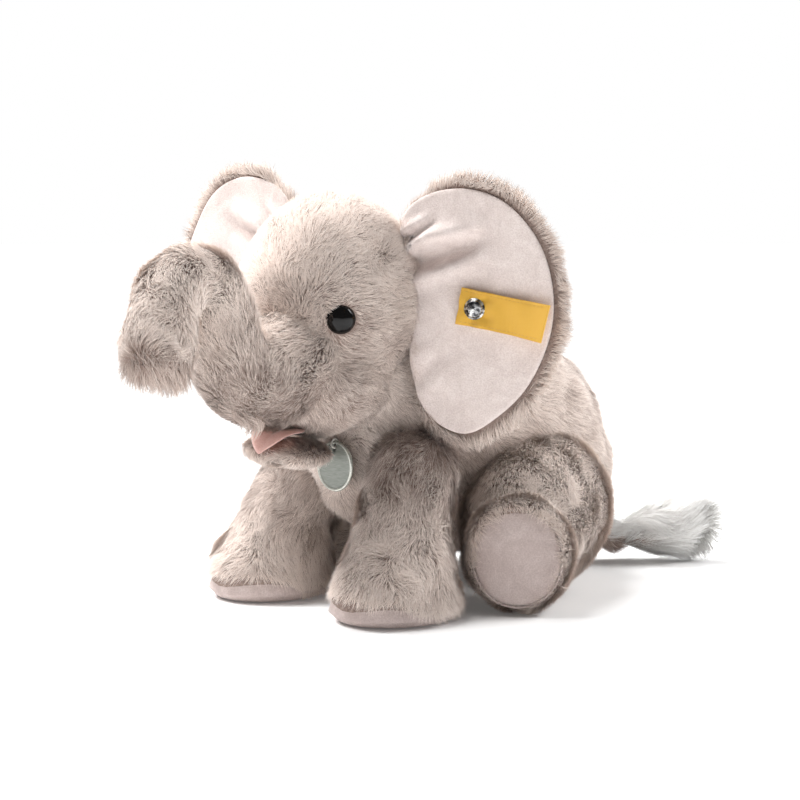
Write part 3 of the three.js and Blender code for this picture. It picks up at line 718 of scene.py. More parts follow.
def ribbons(name, way, out, width, tone, finish, shade=0.7):
    """Hairs from their centre lines: way is (hairs, points, 3), from root to tip."""
    hairs, count, _ = way.shape
    way = way.copy()
    way[..., 2] = np.maximum(way[..., 2], FLOOR_CLEAR)
    along = np.gradient(way, axis=1)
    along /= np.maximum(np.linalg.norm(along, axis=2), 1e-9)[..., None]
    side = np.cross(along, out[:, None, :])
    side /= np.maximum(np.linalg.norm(side, axis=2), 1e-9)[..., None]
    lift = np.cross(side, along)
    rng = np.random.default_rng(len(name) * 131 + hairs)
    tilt = rng.uniform(-0.3, 0.3, (hairs, 1, 1))
    side = side * np.cos(tilt) + lift * np.sin(tilt)
    taper = np.array([1.0, 0.85, 0.1]) if count == 3 else np.linspace(1, 0.12, count) ** 0.7
    half = width[:, None, None] * 0.5 * taper[None, :, None]
    left, right = way - side * half, way + side * half
    verts = np.stack([left, right], axis=2).reshape(-1, 3) * MM
    base = (np.arange(hairs) * count * 2)[:, None]
    quads = []
    for s in range(count - 1):
        quads.append(np.concatenate([base + 2 * s, base + 2 * s + 1, base + 2 * s + 3, base + 2 * s + 2], 1))
    quads = np.stack(quads, axis=1).reshape(-1, 4)
    mesh = bpy.data.meshes.new(name)
    mesh.vertices.add(len(verts))
    mesh.vertices.foreach_set("co", verts.astype(np.float32).ravel())
    mesh.loops.add(quads.size)
    mesh.loops.foreach_set("vertex_index", quads.astype(np.int32).ravel())
    mesh.polygons.add(len(quads))
    mesh.polygons.foreach_set("loop_start", np.arange(0, quads.size, 4, dtype=np.int32))
    mesh.polygons.foreach_set("use_smooth", np.ones(len(quads), bool))
    mesh.update(calc_edges=True)
    chart = mesh.uv_layers.new(name="OFBake")
    v = np.linspace(0.02, 0.98, count)
    tone = np.clip(tone, 0.02, 0.97)
    uv = np.empty((hairs, count, 2, 2))
    uv[..., 0, 0], uv[..., 1, 0] = tone[:, None], tone[:, None] + 0.012
    uv[..., 1] = v[None, :, None]
    uv = uv.reshape(-1, 2)
    chart.data.foreach_set("uv", uv[quads.ravel()].astype(np.float32).ravel())
    soft_normal = unit((out[:, None, :] * shade + lift * (1 - shade)
                        + along * 0.10).reshape(-1, 3)).reshape(hairs, count, 3)
    both = np.repeat(soft_normal[:, :, None, :], 2, axis=2).reshape(-1, 3)
    mesh.normals_split_custom_set_from_vertices(both.astype(np.float32))
    mesh.materials.append(finish)
    thing = bpy.data.objects.new(name, mesh)
    scene.collection.objects.link(thing)
    return thing


print("a hair has", len(BEND_AT), "points along it")

# %% Pile
DENSITY, HAIR_WIDTH = 330, 0.27
LOCK, GATHER, SWIRL = 2.0, 0.38, 0.3


def pile(name, cloth, body, comb, length, lean, seed, paler, keep=None, allowed=None, hidden=(),
         deep=3.5, trim=None):
    """Combed fur over a skin. paler gives each place its tone, which on most pieces is painted light and
    shade by height, and trim shortens its hair.
    """
    density, width = DENSITY, HAIR_WIDTH
    p, out, rng = planted(cloth, density, seed, keep, allowed, hidden, deep)
    hairs = len(p)
    brushed = comb(p) + SWIRL * swirls(p, 34, 5) + 0.25 * swirls(p, 13, 6)
    brushed += 0.22 * rng.normal(size=p.shape)
    brushed -= out * (brushed * out).sum(1)[:, None]
    brushed = unit(brushed)
    angle = lean + 0.16 * swirls(p, 26, 9)[:, :1] + 0.13 * rng.normal(size=(hairs, 1))
    long = length * (1 + 0.10 * swirls(p, 20, 11)[:, :1]) * rng.uniform(0.72, 1.12, (hairs, 1))
    if trim is not None:
        long = long * trim(p)[:, None]
    t = BEND_AT[None, :, None]
    rise = np.cos(angle)[:, None] * t * (1.25 - 0.45 * t)
    fall = np.sin(angle)[:, None] * t * (0.55 + 0.50 * t)
    way = p[:, None, :] + long[:, None] * (out[:, None, :] * rise + brushed[:, None, :] * fall)
    for size, pull, off in ((LOCK, GATHER, 0), (LOCK * 2.6, GATHER * 0.35, 3)):
        spot = lock_centres(p, size, seed + off)
        to = spot - p
        to -= out * (to * out).sum(1)[:, None]
        way += to[:, None, :] * pull * t ** 1.6
        if off == 0:
            spread = np.linalg.norm(to, axis=1) / size
            lock_shade = np.modf(np.abs(spot @ np.array([12.9898, 78.233, 37.719])))[0]
    tone = 0.5 + 0.05 * swirls(p, 45, 13)[:, 0] + 0.06 * swirls(p, 12, 17)[:, 0]
    # Hairs far from the middle of their lock are darker: painted shade between the locks.
    tone += 0.20 * rng.normal(size=hairs) - 0.50 * (spread - 0.45)
    tone += paler(p)
    # Hairs on upward-facing cloth are paler: painted light from above. lock_shade is a random tone for each
    # lock.
    tone += 0.30 * (lock_shade - 0.5) + 0.16 * out[:, 2]
    thing = ribbons(name, way, out, np.full(hairs, width) * rng.uniform(0.8, 1.2, hairs), tone,
                    FUR)
    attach(thing, body)
    print(name, hairs, "hairs")
    return thing


# %% Combing and tone rules
def by_height(*stops):
    """How much paler the fur is, at given heights in millimetres."""
    heights, shifts = zip(*stops)
    return lambda p: np.interp(p[:, 2], heights, shifts)


def flow(direction):
    d = np.array(direction, float)
    return lambda p: np.repeat(d[None, :] / np.linalg.norm(d), len(p), axis=0)


def away_from(point):
    return lambda p: unit(p - np.asarray(point, float))


print("combing is ready")

# %% [markdown]
# ## Stuffed skins
# The cloth under the pile: rounded cuts melted into one skin for each sewn body, so that the
# creases between cheeks, chest and limbs are soft. Each is a padded piece that rides its own body.

# %% Skins
def skin(name, shape, place, body, nodes, melt=True):
    points, faces = shape
    thing = piece(name, place(points), faces, SHADED_BACKING)
    if melt:
        melted(thing)
    return joined(thing, body, nodes)


def above(shape, floor):
    """Flattens a shape where it would reach below a height."""
    points, faces = shape
    return np.column_stack([points[:, :2], np.maximum(points[:, 2], floor)]), faces


head_cloth = skin("head_cloth", stack(egg(*SKULL, grow=-PILE), egg(*MUZZLE, grow=-PILE)), in_head,
                  "head", ["head_side_left", "head_side_right", "head_gusset"])
trunk_cloth = skin("trunk_cloth", limb(TRUNK, -PILE, steps=80, cap_end=0.5), in_head, "trunk",
                   ["trunk_skin", "trunk_tip"], melt=False)
body_shape = stack(limb(BODY, -PILE, steps=60, cap_start=0.72), egg(*CHEST, grow=-PILE))
body_cloth = skin("body_cloth", above(body_shape, 1.2), in_frame, "body",
                  ["body_side_left", "body_side_right", "body_seat"])
SIDES = (("left", in_frame), ("right", in_right))
legs = {}
for side, place in SIDES:
    front = above(limb(FRONT_LEG, -PILE, steps=50, cap_start=0.9, cap_end=0.12), 3.0)
    hind = above(limb(HIND_LEG, -PILE, steps=50, cap_start=0.95, cap_end=0.08), 1.0)
    for end, shape in (("front", front), ("hind", hind)):
        leg = f"{end}_leg_{side}"
        legs[end, side] = skin(f"{leg}_cloth", shape, place, leg, [f"{leg}_skin"])
tail_cloth = skin("tail_cloth", limb(TAIL, -2.0, around=24, steps=24), in_frame, "tail",
                  ["tail_sleeve"], melt=False)
tuft_cloth = skin("tuft_cloth", limb(TUFT, -3.5, around=24, steps=24), in_frame, "tail",
                  ["tail_tuft"], melt=False)
lip_cloth = skin("lip_cloth", egg((0, -35, 83), (25, 20, 7.5), -1.6), in_head, "head", ["lower_lip"],
                 melt=False)
print("skins made:", len(legs) + 5)

# %% [markdown]
# ### Wadding of the head
# The head is stuffed with loose fibre, which takes the shape of its cover. The plain block of
# filling could be kept, but its faces are flat. So the wadding is made from the same round cuts as
# the cloth, a little smaller, and melted in the same way.

# %% Wadding of the head
UNDER_CLOTH = 2.5
points, faces = stack(egg(*SKULL, grow=-PILE - UNDER_CLOTH), egg(*MUZZLE, grow=-PILE - UNDER_CLOTH))
head_wadding = melted(piece("head_wadding", in_head(points), faces, FILLING))
joined(head_wadding, "head", ["head_filling"])
print("head wadding measures", [round(d / MM, 1) for d in head_wadding.dimensions], "mm")

# %% [markdown]
# ## Ears
# Each ear is a leaf of velour sewn to a larger leaf of fur. The velour face is dished, is rounded
# over at its seam, and has two pleats where it is gathered into the head.

# %% Ear leaves
EAR_OUTLINE = [(-3, 152), (-4.5, 180), (-8, 203), (4, 215), (24, 219), (43, 214), (58, 201), (68, 183),
               (72, 163), (69, 141), (59, 120), (45, 105), (32, 97), (19, 99), (8, 108), (2, 121),
               (-1, 136)]
EAR_MIDDLE = np.array([34.0, 157.0])
EAR_RIM = 5.0


def closed_line(points, count):
    p = np.asarray(points, float)
    n = len(p)
    u = np.linspace(0, n, count, endpoint=False)
    k = u.astype(int)
    t = (u - k)[:, None]
    a, b, c, d = p[(k - 1) % n], p[k % n], p[(k + 1) % n], p[(k + 2) % n]
    return 0.5 * (2 * b + (c - a) * t + (2 * a - 5 * b + 4 * c - d) * t ** 2
                  + (3 * b - a - 3 * c + d) * t ** 3)


def smoothstep(x, a, b):
    t = np.clip((x - a) / (b - a), 0, 1)
    return t * t * (3 - 2 * t)


def groove(q, start, end, width, depth):
    a, b = np.array(start, float), np.array(end, float)
    ab = b - a
    t = np.clip(((q - a) @ ab) / (ab @ ab), 0, 1)
    d = np.linalg.norm(q - (a + t[:, None] * ab), axis=1)
    fade = 1 - smoothstep(t, 0.45, 1.0)
    valley = depth * fade * np.exp(-(d / width) ** 2)
    ridge = -0.45 * depth * fade * np.exp(-((d - 2.0 * width) / width) ** 2)
    return valley + ridge


def ear_dish(q):
    s = q[:, 0]
    y = 4 * smoothstep(s, 10, 95)
    y = y + groove(q, (-8, 190), (14, 205), 2.2, 4.0)
    y = y + groove(q, (-5, 179), (44, 198), 4.2, 7.0)
    y = y - 3.6 * np.exp(-(((q - np.array([2, 196])) / np.array([16, 6])) ** 2).sum(1))
    y = y + groove(q, (4, 122), (20, 140), 4.0, 1.2)
    y = y + 1.8 * np.exp(-(((q - np.array([36, 150])) / np.array([24, 34])) ** 2).sum(1))
    y = y + 0.7 * np.sin(q[:, 0] / 7.5 + q[:, 1] / 13) * np.cos(q[:, 1] / 10 - q[:, 0] / 19)
    return y


def leaf(grow, low, high, around=150, shares=30, round_off=2.0):
    line = closed_line(EAR_OUTLINE, around)
    tangent = np.roll(line, -1, 0) - np.roll(line, 1, 0)
    out = unit(np.column_stack([tangent[:, 1], -tangent[:, 0]]))
    out[((out * (line - EAR_MIDDLE)).sum(1)) < 0] *= -1
    rim = line + out * (grow * smoothstep(line[:, 0], 0, 18))[:, None]
    share = 1 - (1 - np.linspace(0, 1, shares + 1)[1:]) ** 1.5
    thick = high - low

    def face(k, at, inward):
        q = EAR_MIDDLE + (rim - EAR_MIDDLE) * k
        edge = np.linalg.norm(rim - q, axis=1)
        roll = inward * thick * 0.5 * (1 - np.sqrt(np.clip(1 - (1 - np.clip(edge / round_off, 0, 1)) ** 2,
                                                           0, 1)))
        return np.column_stack([EAR_ROOT[0] + q[:, 0], EAR_ROOT[1] + at + roll + ear_dish(q), q[:, 1]])
    middle = ear_dish(EAR_MIDDLE[None])[0]
    points = [np.array([[EAR_ROOT[0] + EAR_MIDDLE[0], EAR_ROOT[1] + low + middle, EAR_MIDDLE[1]]])]
    points += [face(k, low, 1) for k in share]
    points += [face(k, high, -1) for k in share[::-1]]
    points.append(np.array([[EAR_ROOT[0] + EAR_MIDDLE[0], EAR_ROOT[1] + high + middle, EAR_MIDDLE[1]]]))
    return np.vstack(points), ring_faces(len(share) * 2, around, turned=True)


heights = [up for _, up in EAR_OUTLINE]
print("an ear leaf is", max(heights) - min(heights), "mm tall")

# %% Sew the ears
ears = {}
velour, fur = leaf(0, -2.4, 0), leaf(EAR_RIM - 1.5, 0.4, 3.2)
for side in ("left", "right"):
    place = in_ear(side)
    lining = piece(f"ear_{side}_lining", place(velour[0]), velour[1], VELOUR)
    back_leaf = piece(f"ear_{side}_back", place(fur[0]), fur[1], SHADED_BACKING)
    joined(lining, f"ear_{side}", [f"ear_{side}_velour"])
    joined(back_leaf, f"ear_{side}", [f"ear_{side}_fur"])
    ears[side] = (lining, back_leaf)
print("ears made:", len(ears))

# %% [markdown]
# ## Stuffed pads
# Soles, felt and ear linings are cloth bags. Blender's cloth solver blows each one up a little from
# a slightly smaller shape, so that it puckers along its seam as a sewn bag does.

# %% Blow up a bag
def puffed(thing, pressure, frames, cap, stiff, pinned=None):
    """Runs the cloth solver on a closed bag, and caps how far each point may move (in mm)."""
    start = spots_of(thing.data.vertices)
    cloth = thing.modifiers.new("bag", "CLOTH")
    cloth.settings.effector_weights.gravity = 0
    settings = {"use_pressure": True, "uniform_pressure_force": pressure, "quality": 5, "mass": 0.1,
                "tension_stiffness": stiff, "compression_stiffness": stiff, "bending_stiffness": 0.3}
    for setting, value in settings.items():
        setattr(cloth.settings, setting, value)
    cloth.collision_settings.use_collision = False
    cloth.collision_settings.use_self_collision = False
    if pinned is not None:
        group = thing.vertex_groups.new(name="seam")
        for i in np.nonzero(pinned)[0]:
            group.add([int(i)], 1.0, "REPLACE")
        cloth.settings.vertex_group_mass = "seam"
    cloth.point_cache.frame_start = 1
    cloth.point_cache.frame_end = frames
    for frame_number in range(1, frames + 1):
        scene.frame_set(frame_number)
    graph = bpy.context.evaluated_depsgraph_get()
    done = thing.evaluated_get(graph).to_mesh()
    move = spots_of(done.vertices) - start
    thing.evaluated_get(graph).to_mesh_clear()
    if pinned is None:
        move -= move.mean(0)
    reach = np.linalg.norm(move, axis=1)
    move *= (np.minimum(reach, cap * MM) / np.maximum(reach, 1e-9))[:, None]
    thing.modifiers.clear()
    thing.vertex_groups.clear()
    thing.data.vertices.foreach_set("co", (start + move).ravel())
    thing.data.update()
    scene.frame_set(1)
    print(thing.name, "swelled by up to", round(float(np.linalg.norm(move, axis=1).max()) / MM, 2), "mm")
    return thing


for side in ("left", "right"):
    lining = ears[side][0]
    count = len(lining.data.vertices)
    back_layer = np.arange(count) > count // 2
    puffed(lining, 1.2, 10, 1.1, 20, pinned=back_layer)

# %% [markdown]
# ## Soles
# The feet end in pads of the same velour as the ears. A front pad is rounded up over the toes and
# flat where it stands. A hind pad faces outward, crowned, inside a narrow corded seam.

# %% Sole pads
PAD_AROUND, PAD_SHARES, PAD_SQUARENESS = 96, 22, 2.15


def pad(radii, thick, crown, around=PAD_AROUND, shares=PAD_SHARES):
    """A crowned cushion in its own axes: x across, y up, z out of the foot."""
    turns = np.linspace(0, 2 * math.pi, around, endpoint=False)
    c, s = np.cos(turns), np.sin(turns)
    r = (np.abs(c) ** PAD_SQUARENESS + np.abs(s) ** PAD_SQUARENESS) ** (-1 / PAD_SQUARENESS)
    rim = np.column_stack([c * r * radii[0], s * r * radii[1]])
    share = np.linspace(0, 1, shares + 1)[1:]
    points = [np.array([[0, 0, crown]])]
    for k in share:
        z = crown * (1 - k ** 2.6) ** 0.6
        points.append(np.column_stack([rim * k, np.full(around, z)]))
    for k in share[::-1][1:]:
        points.append(np.column_stack([rim * k, np.full(around, -thick * (1 - k ** 4) ** 0.5)]))
    points.append(np.array([[0, 0, -thick]]))
    return np.vstack(points), ring_faces(shares * 2 - 1, around, turned=True)


HIND_END = np.array([88.0, 43.0, 30.4])
HIND_OUT = np.array([5.0, -6.0, 0.0]) / math.hypot(5, 6)
HIND_SIDE = np.array([-HIND_OUT[1], HIND_OUT[0], 0.0])
HIND_SOLE = (22.0, 24.6)
FRONT_SOLE_AT = np.array([47.0, -2.0])
FRONT_SOLE = (30.8, 35.8)


def sole_edge(y):
    """How high the velour comes up the side of a front foot: most at the toes."""
    return 6.5 + 10.5 * smoothstep(-y, -6, 30)


def hind_axes(p, off):
    return HIND_END + HIND_OUT * off + np.outer(p[:, 0], HIND_SIDE) + np.outer(p[:, 1], (0, 0, 1)) \
        + np.outer(p[:, 2], HIND_OUT)


HIND_EDGE = slice(1 + (PAD_SHARES - 1) * PAD_AROUND, 1 + PAD_SHARES * PAD_AROUND)
for side, place in SIDES:
    points, faces = pad(HIND_SOLE, 2.6, 4.4)
    leg = f"hind_leg_{side}"
    sole = piece(f"{leg}_pad", place(hind_axes(points, 1.0)), faces, SOLE_VELOUR)
    joined(sole, leg, [f"{leg}_sole"])
    edge = np.zeros(len(points), bool)
    edge[HIND_EDGE] = True
    puffed(sole, 3.0, 12, 1.6, 12, pinned=edge)

# %% Front soles
STANDS_BELOW = 1.2
for side, place in SIDES:
    points, faces = pad(FRONT_SOLE, 0.1, 1.0)
    low = points[:, 2] <= 0
    rise = np.hypot(points[:, 0] / FRONT_SOLE[0], points[:, 1] / FRONT_SOLE[1]).clip(0, 1)
    bottom = 0.5 + 4.5 * np.clip((rise - 0.82) / 0.18, 0, 1) ** 2.2
    turned_up = sole_edge(points[:, 1])
    top = turned_up + 0.5 - 3.0 * np.clip((rise - 0.85) / 0.15, 0, 1) ** 2.0
    slope = 1 - 0.05 * np.where(low, 0, smoothstep(turned_up, 6, 18)) * rise
    points[:, :2] *= slope[:, None]
    points = np.column_stack([points[:, :2] + FRONT_SOLE_AT, np.where(low, bottom, top)])
    leg = f"front_leg_{side}"
    sole = piece(f"{leg}_pad", place(points), faces, SOLE_VELOUR)
    joined(sole, leg, [f"{leg}_sole"])
    puffed(sole, 2.0, 10, 1.2, 15, pinned=points[:, 2] < STANDS_BELOW)
print("soles made")

# %% Corded seam round each hind sole
def tube(line, radius, around=10, closed=True):
    line = np.asarray(line, float)
    way = np.roll(line, -1, 0) - np.roll(line, 1, 0) if closed else np.gradient(line, axis=0)
    way = unit(way)
    up = np.array([0.0, 0.0, 1.0])
    side = np.cross(way, up)
    weak = np.linalg.norm(side, axis=1) < 0.2
    side[weak] = np.cross(way[weak], np.array([1.0, 0, 0]))
    for i in range(1, len(side)):
        if side[i] @ side[i - 1] < 0:
            side[i] *= -1
    side = unit(side)
    lift = np.cross(side, way)
    radius = np.broadcast_to(radius, (len(line),))
    turns = np.linspace(0, 2 * math.pi, around, endpoint=False)
    rings = (line[:, None, :] + (np.cos(turns)[None, :, None] * side[:, None, :]
             + np.sin(turns)[None, :, None] * lift[:, None, :]) * radius[:, None, None])
    n, count = around, len(line)
    faces = []
    for i in range(count if closed else count - 1):
        for k in range(n):
            a, b = i * n, ((i + 1) % count) * n
            faces.append((a + k, a + (k + 1) % n, b + (k + 1) % n, b + k))
    if not closed:
        faces.append(tuple(range(n))[::-1])
        faces.append(tuple((count - 1) * n + k for k in range(n)))
    return rings.reshape(-1, 3), faces


turns = np.linspace(0, 2 * math.pi, 160, endpoint=False)
for side, place in SIDES:
    loop = np.column_stack([np.cos(turns) * (HIND_SOLE[0] + 0.8), np.sin(turns) * (HIND_SOLE[1] + 0.8),
                            0.25 * np.sin(turns * 46)])
    points, faces = tube(hind_axes(loop, 1.0), 0.6 + 0.12 * np.sin(turns * 40))
    seam = piece(f"hind_leg_{side}_seam", place(points), faces, SOLE_VELOUR)
    joined(seam, f"hind_leg_{side}", [f"hind_leg_{side}_piping"])
print("seams made")

# %% [markdown]
# ## Eyes and mouth
# The eyes are glossy black domes pressed into the plush on washers. The mouth is a scrap of salmon
# felt, folded along its middle, between the muzzle and the lower lip.

# %% Eyes
EYE_AT, EYE_R, EYE_RISE = np.array([33.0, -38.0, 152.0]), 7.4, 4.9
EYE_BLACK, _ = finish("eye_black", 0.06, (0.004, 0.0035, 0.0035), Specular_IOR_Level=0.28)
toned(EYE_BLACK, grain(EYE_BLACK, 160).outputs["Fac"], "Roughness", (0.35, 0.05), (0.75, 0.13))


def on_skull(p):
    centre, radii = np.array(SKULL[0], float), np.array(SKULL[1], float)
    q = (p - centre) / radii
    surface = centre + q / np.linalg.norm(q) * radii
    normal = (surface - centre) / radii ** 2
    return surface, normal / np.linalg.norm(normal)


def lathed(profile, around=48):
    """profile: rows of (radius, height) from the bottom of the axis to its top."""
    points, faces = [], []
    for r, h in profile:
        for k in range(around):
            a = 2 * math.pi * k / around
            points.append((r * math.cos(a), r * math.sin(a), h))
    rows = len(profile)
    for i in range(rows - 1):
        for k in range(around):
            a, b = i * around, (i + 1) * around
            faces.append((a + k, a + (k + 1) % around, b + (k + 1) % around, b + k))
    faces.append(tuple(range(around))[::-1])
    faces.append(tuple((rows - 1) * around + k for k in range(around)))
    return np.array(points), faces


def along(points, at, normal, right=None):
    """Turns points so their z runs along normal, and moves them to at."""
    z = np.asarray(normal, float) / np.linalg.norm(normal)
    x = np.cross((0, 0, 1.0), z) if right is None else np.asarray(right, float)
    x = x - z * (x @ z)
    x /= np.linalg.norm(x)
    y = np.cross(z, x)
    return np.asarray(at, float) + points @ np.array([x, y, z])


eye_profile = [(0.01, -1.6), (EYE_R * 0.7, -1.6), (EYE_R * 0.96, -1.1), (EYE_R, -0.4)]
for step in range(1, 15):
    a = math.radians(90 * step / 15)
    eye_profile.append((EYE_R * math.cos(a), EYE_RISE * math.sin(a) ** 0.95 - 0.4 * math.cos(a)))
eye_profile.append((0.01, EYE_RISE))
eye_spots = {}
for side in ("left", "right"):
    spot, normal = on_skull(EYE_AT if side == "left" else mirrored(EYE_AT))
    points, faces = lathed(eye_profile)
    eye = piece(f"eye_{side}_dome", in_head(along(points, spot - normal * 2.2, normal)), faces, EYE_BLACK)
    joined(eye, "head", [f"eye_{side}"])
    eye_spots[side] = in_head(spot) / MM
print("eyes at", {k: v.round(1).tolist() for k, v in eye_spots.items()})

# %% Mouth
MOUTH_AT, MOUTH_R = np.array([1.0, -45.0, 94.2]), (14.0, 13.5)
points, faces = pad(MOUTH_R, 0.9, 0.9, 64, 14)
fold = 1.6 * np.exp(-(points[:, 0] / 3.5) ** 2)
front = np.clip(-points[:, 1], 0, None)
droop = -0.052 * front ** 2
narrow = 1 - 0.022 * front
points[:, 0] *= narrow
points[:, 2] += droop - fold + 1.0
tongue = piece("mouth_felt", in_head(points + MOUTH_AT), faces, SALMON)
joined(tongue, "head", ["mouth_lining"])
puffed(tongue, 1.0, 8, 0.6, 15)

# %% [markdown]
# ## Tab and stud in the left ear
# A golden tape is folded double and fixed through the ear by a domed metal stud. It has no
# lettering. The tape is a real strip with its fold at the outer end, which lifts from the velour.

# %% Woven tape
TAPE, _ = finish("tab_cloth", 0.62, (0.80, 0.47, 0.05), Sheen_Weight=0.25, Sheen_Roughness=0.4)
chart = add(TAPE, "ShaderNodeUVMap", uv_map="tape")
weave = add(TAPE, "ShaderNodeMath", operation="MULTIPLY")
for slot, direction in enumerate("XY"):
    wave = add(TAPE, "ShaderNodeTexWave", bands_direction=direction)
    for socket, value in (("Scale", 0.62), ("Distortion", 0.6), ("Detail Scale", 2.0)):
        wave.inputs[socket].default_value = value
    join(TAPE, chart.outputs["UV"], wave.inputs["Vector"])
    join(TAPE, wave.outputs["Fac"], weave.inputs[slot])
wear = add(TAPE, "ShaderNodeTexNoise")
wear.inputs["Scale"].default_value = 2.2
wear.inputs["Detail"].default_value = 4
join(TAPE, chart.outputs["UV"], wear.inputs["Vector"])
mix = add(TAPE, "ShaderNodeMix", data_type="FLOAT")
mix.inputs["Factor"].default_value = 0.6
join(TAPE, wear.outputs["Fac"], mix.inputs["A"])
join(TAPE, weave.outputs[0], mix.inputs["B"])
toned(TAPE, mix.outputs["Result"], "Base Color", (0.25, (0.84, 0.44, 0.04)),
      (0.5, (0.98, 0.60, 0.07)), (0.75, (1.0, 0.70, 0.15)))
embossed(TAPE, weave.outputs[0], 0.8, 0.0003)
print("tape finish made")

# %% Run of the tape
STUD_OUT, STUD_UP = 33.0, 160.0
TAB_LONG, TAB_WIDE, TAB_BEFORE, TAB_SLANT = 46.0, 18.5, 8.5, math.radians(-7)
LAYER = 0.42


def tab_spot(u, v, off):
    """u along the tape from its inner end, v across it, off in front of the velour."""
    du = u - TAB_BEFORE
    outward = STUD_OUT + du * math.cos(TAB_SLANT) - v * math.sin(TAB_SLANT)
    up = STUD_UP + du * math.sin(TAB_SLANT) + v * math.cos(TAB_SLANT)
    bow = 4 * smoothstep(outward, 10, 95)
    lift = (7.5 - 0.28 * v) * smoothstep(du, 6, 46) + 0.5 * np.sin(du / 7.5 + 0.6) * smoothstep(du, 6, 16)
    away = np.hypot(du, v)
    lift = lift + 0.9 * np.sin(np.arctan2(v, du) * 5 + 0.6) * np.exp(-((away - 8.5) / 3.2) ** 2)
    ripple = smoothstep(du, 9, 16) * (1 - smoothstep(du, 26, 34))
    lift = lift + 0.45 * np.sin((du * 0.8 + v * 0.55) / 2.6) * ripple
    press = 0.9 * np.exp(-(du ** 2 + v ** 2) / 30.0)
    y = EAR_ROOT[1] - 2.4 + bow - 0.9 - off - lift + press * 0.4
    return np.column_stack([EAR_ROOT[0] + outward, y, up])


print("tape is", TAB_WIDE, "mm wide and", TAB_LONG, "mm long when folded")

# %% Folded tape
across = np.linspace(-0.5, 0.5, 29)
front_u = np.linspace(0, TAB_LONG, 70)
turns = np.linspace(-90, 90, 9)[1:-1]
profile = [(u, LAYER * 2.4 + 0.5 * math.sin(math.pi * u / TAB_LONG)) for u in front_u]
bend = LAYER * 1.2
profile += [(TAB_LONG + bend * math.cos(math.radians(a)), bend * (1 - math.sin(math.radians(a))))
            for a in turns]
profile += [(u, 0.0) for u in front_u[::-1]]
rows = []
for u, off in profile:
    narrow = 1 - 0.03 * math.sin(math.pi * min(max(u / TAB_LONG, 0), 1))
    rows.append(tab_spot(np.full(len(across), u), across * TAB_WIDE * narrow, off))
points = np.vstack(rows)
n = len(across)
faces = [(i * n + k, i * n + k + 1, (i + 1) * n + k + 1, (i + 1) * n + k)
         for i in range(len(profile) - 1) for k in range(n - 1)]
tape = piece("ear_tab_tape", in_ear("left")(points), faces, TAPE, closed=False)
chart = tape.data.uv_layers.new(name="tape")
run = np.concatenate([[0], np.cumsum(np.linalg.norm(np.diff(profile, axis=0), axis=1))])
for loop in tape.data.loops:
    i, k = divmod(loop.vertex_index, n)
    chart.data[loop.index].uv = (run[i], across[k] * TAB_WIDE)
thicken = tape.modifiers.new("cloth", "SOLIDIFY")
thicken.thickness = LAYER * MM
thicken.offset = 0
applied(tape)
joined(tape, "ear_tab", ["ear_tab"])
print("tape is", round(float(run[-1]), 1), "mm long before it is folded")

# %% Stitched hem of the tape
stitches = []
for row in (-0.41, 0.41):
    u = 2.0
    while u < TAB_LONG - 2:
        du = np.linspace(u, u + 1.5, 6)
        spot = tab_spot(du, np.full(6, row * TAB_WIDE), LAYER * 2.4 + 0.14)
        spot[:, 1] -= 0.22 * np.sin(np.linspace(0, math.pi, 6)) + 0.5 * np.sin(math.pi * du / TAB_LONG)
        stitches.append(tube(spot, 0.13, 6, closed=False))
        u += 2.1
points, faces = stack(*stitches)
THREAD = velour_finish("tab_thread", (0.62, 0.33, 0.05), (0.78, 0.47, 0.10), (0.88, 0.6, 0.2), fine=2500)
thread = piece("ear_tab_stitches", in_ear("left")(points), faces, THREAD)
joined(thread, "ear_tab", [])
print("stitches made:", len(stitches))

# %% Domed stud
STEEL, _ = finish("stud_metal", 0.22, (0.5, 0.5, 0.5), Metallic=1.0)
dents_and_painted_glints = grain(STEEL, 520, 3).outputs["Fac"]
embossed(STEEL, dents_and_painted_glints, 0.6, 0.0006)
# Base colour running from near black to bright over the dents is painted reflection: dark mirrored patches
# and bright glints on the metal.
toned(STEEL, dents_and_painted_glints, "Base Color", (0.38, (0.05, 0.05, 0.055)), (0.52, 0.35), (0.66, 0.92))
toned(STEEL, dents_and_painted_glints, "Roughness", (0.3, 0.14), (0.7, 0.36))
stud_profile = [(0.01, -0.5), (4.9, -0.5), (5.4, -0.1), (5.45, 0.35), (5.1, 0.75), (4.6, 0.8), (4.35, 1.2)]
for step in range(1, 11):
    a = math.radians(90 * step / 11)
    stud_profile.append((4.35 * math.cos(a), 1.2 + 1.7 * math.sin(a)))
stud_profile.append((0.01, 2.9))
points, faces = lathed(stud_profile)
stud_at = tab_spot(np.array([TAB_BEFORE]), np.array([0.0]), LAYER * 2.4 + 0.6)[0]
stud = piece("ear_stud_dome", in_ear("left")(along(points, stud_at, (0, -1, 0))), faces, STEEL)
joined(stud, "ear_left", ["ear_stud"])
print("tab and stud made")

# %% [markdown]
# ## Chest disc
# A small satin disc hangs on a thread loop at the chest. It is plain: a rolled rim round a
# brushed face, with the hole for its loop near the top.

# %% Disc finishes
DISC_AT, DISC_R, DISC_THICK = np.array([11.0, -10.4, 74.5]), 13.0, 1.4
SATIN, _ = finish("disc_satin", 0.42, (0.21, 0.225, 0.20), Metallic=0.35, Coat_Weight=0.2,
                  Coat_Roughness=0.25)
brushed = grain(SATIN, 260, stretch=(1.0, 1.0, 14.0)).outputs["Fac"]
toned(SATIN, brushed, "Base Color", (0.3, (0.18, 0.195, 0.172)), (0.7, (0.29, 0.305, 0.275)))
toned(SATIN, brushed, "Roughness", (0.3, 0.34), (0.7, 0.50))
LIGHT_RIM, _ = finish("disc_rim", 0.3, (0.55, 0.56, 0.50), Metallic=0.6)
toned(LIGHT_RIM, grain(LIGHT_RIM, 900).outputs["Fac"], "Base Color",
      (0.3, (0.45, 0.46, 0.41)), (0.7, (0.66, 0.67, 0.61)))
print("disc finishes made")

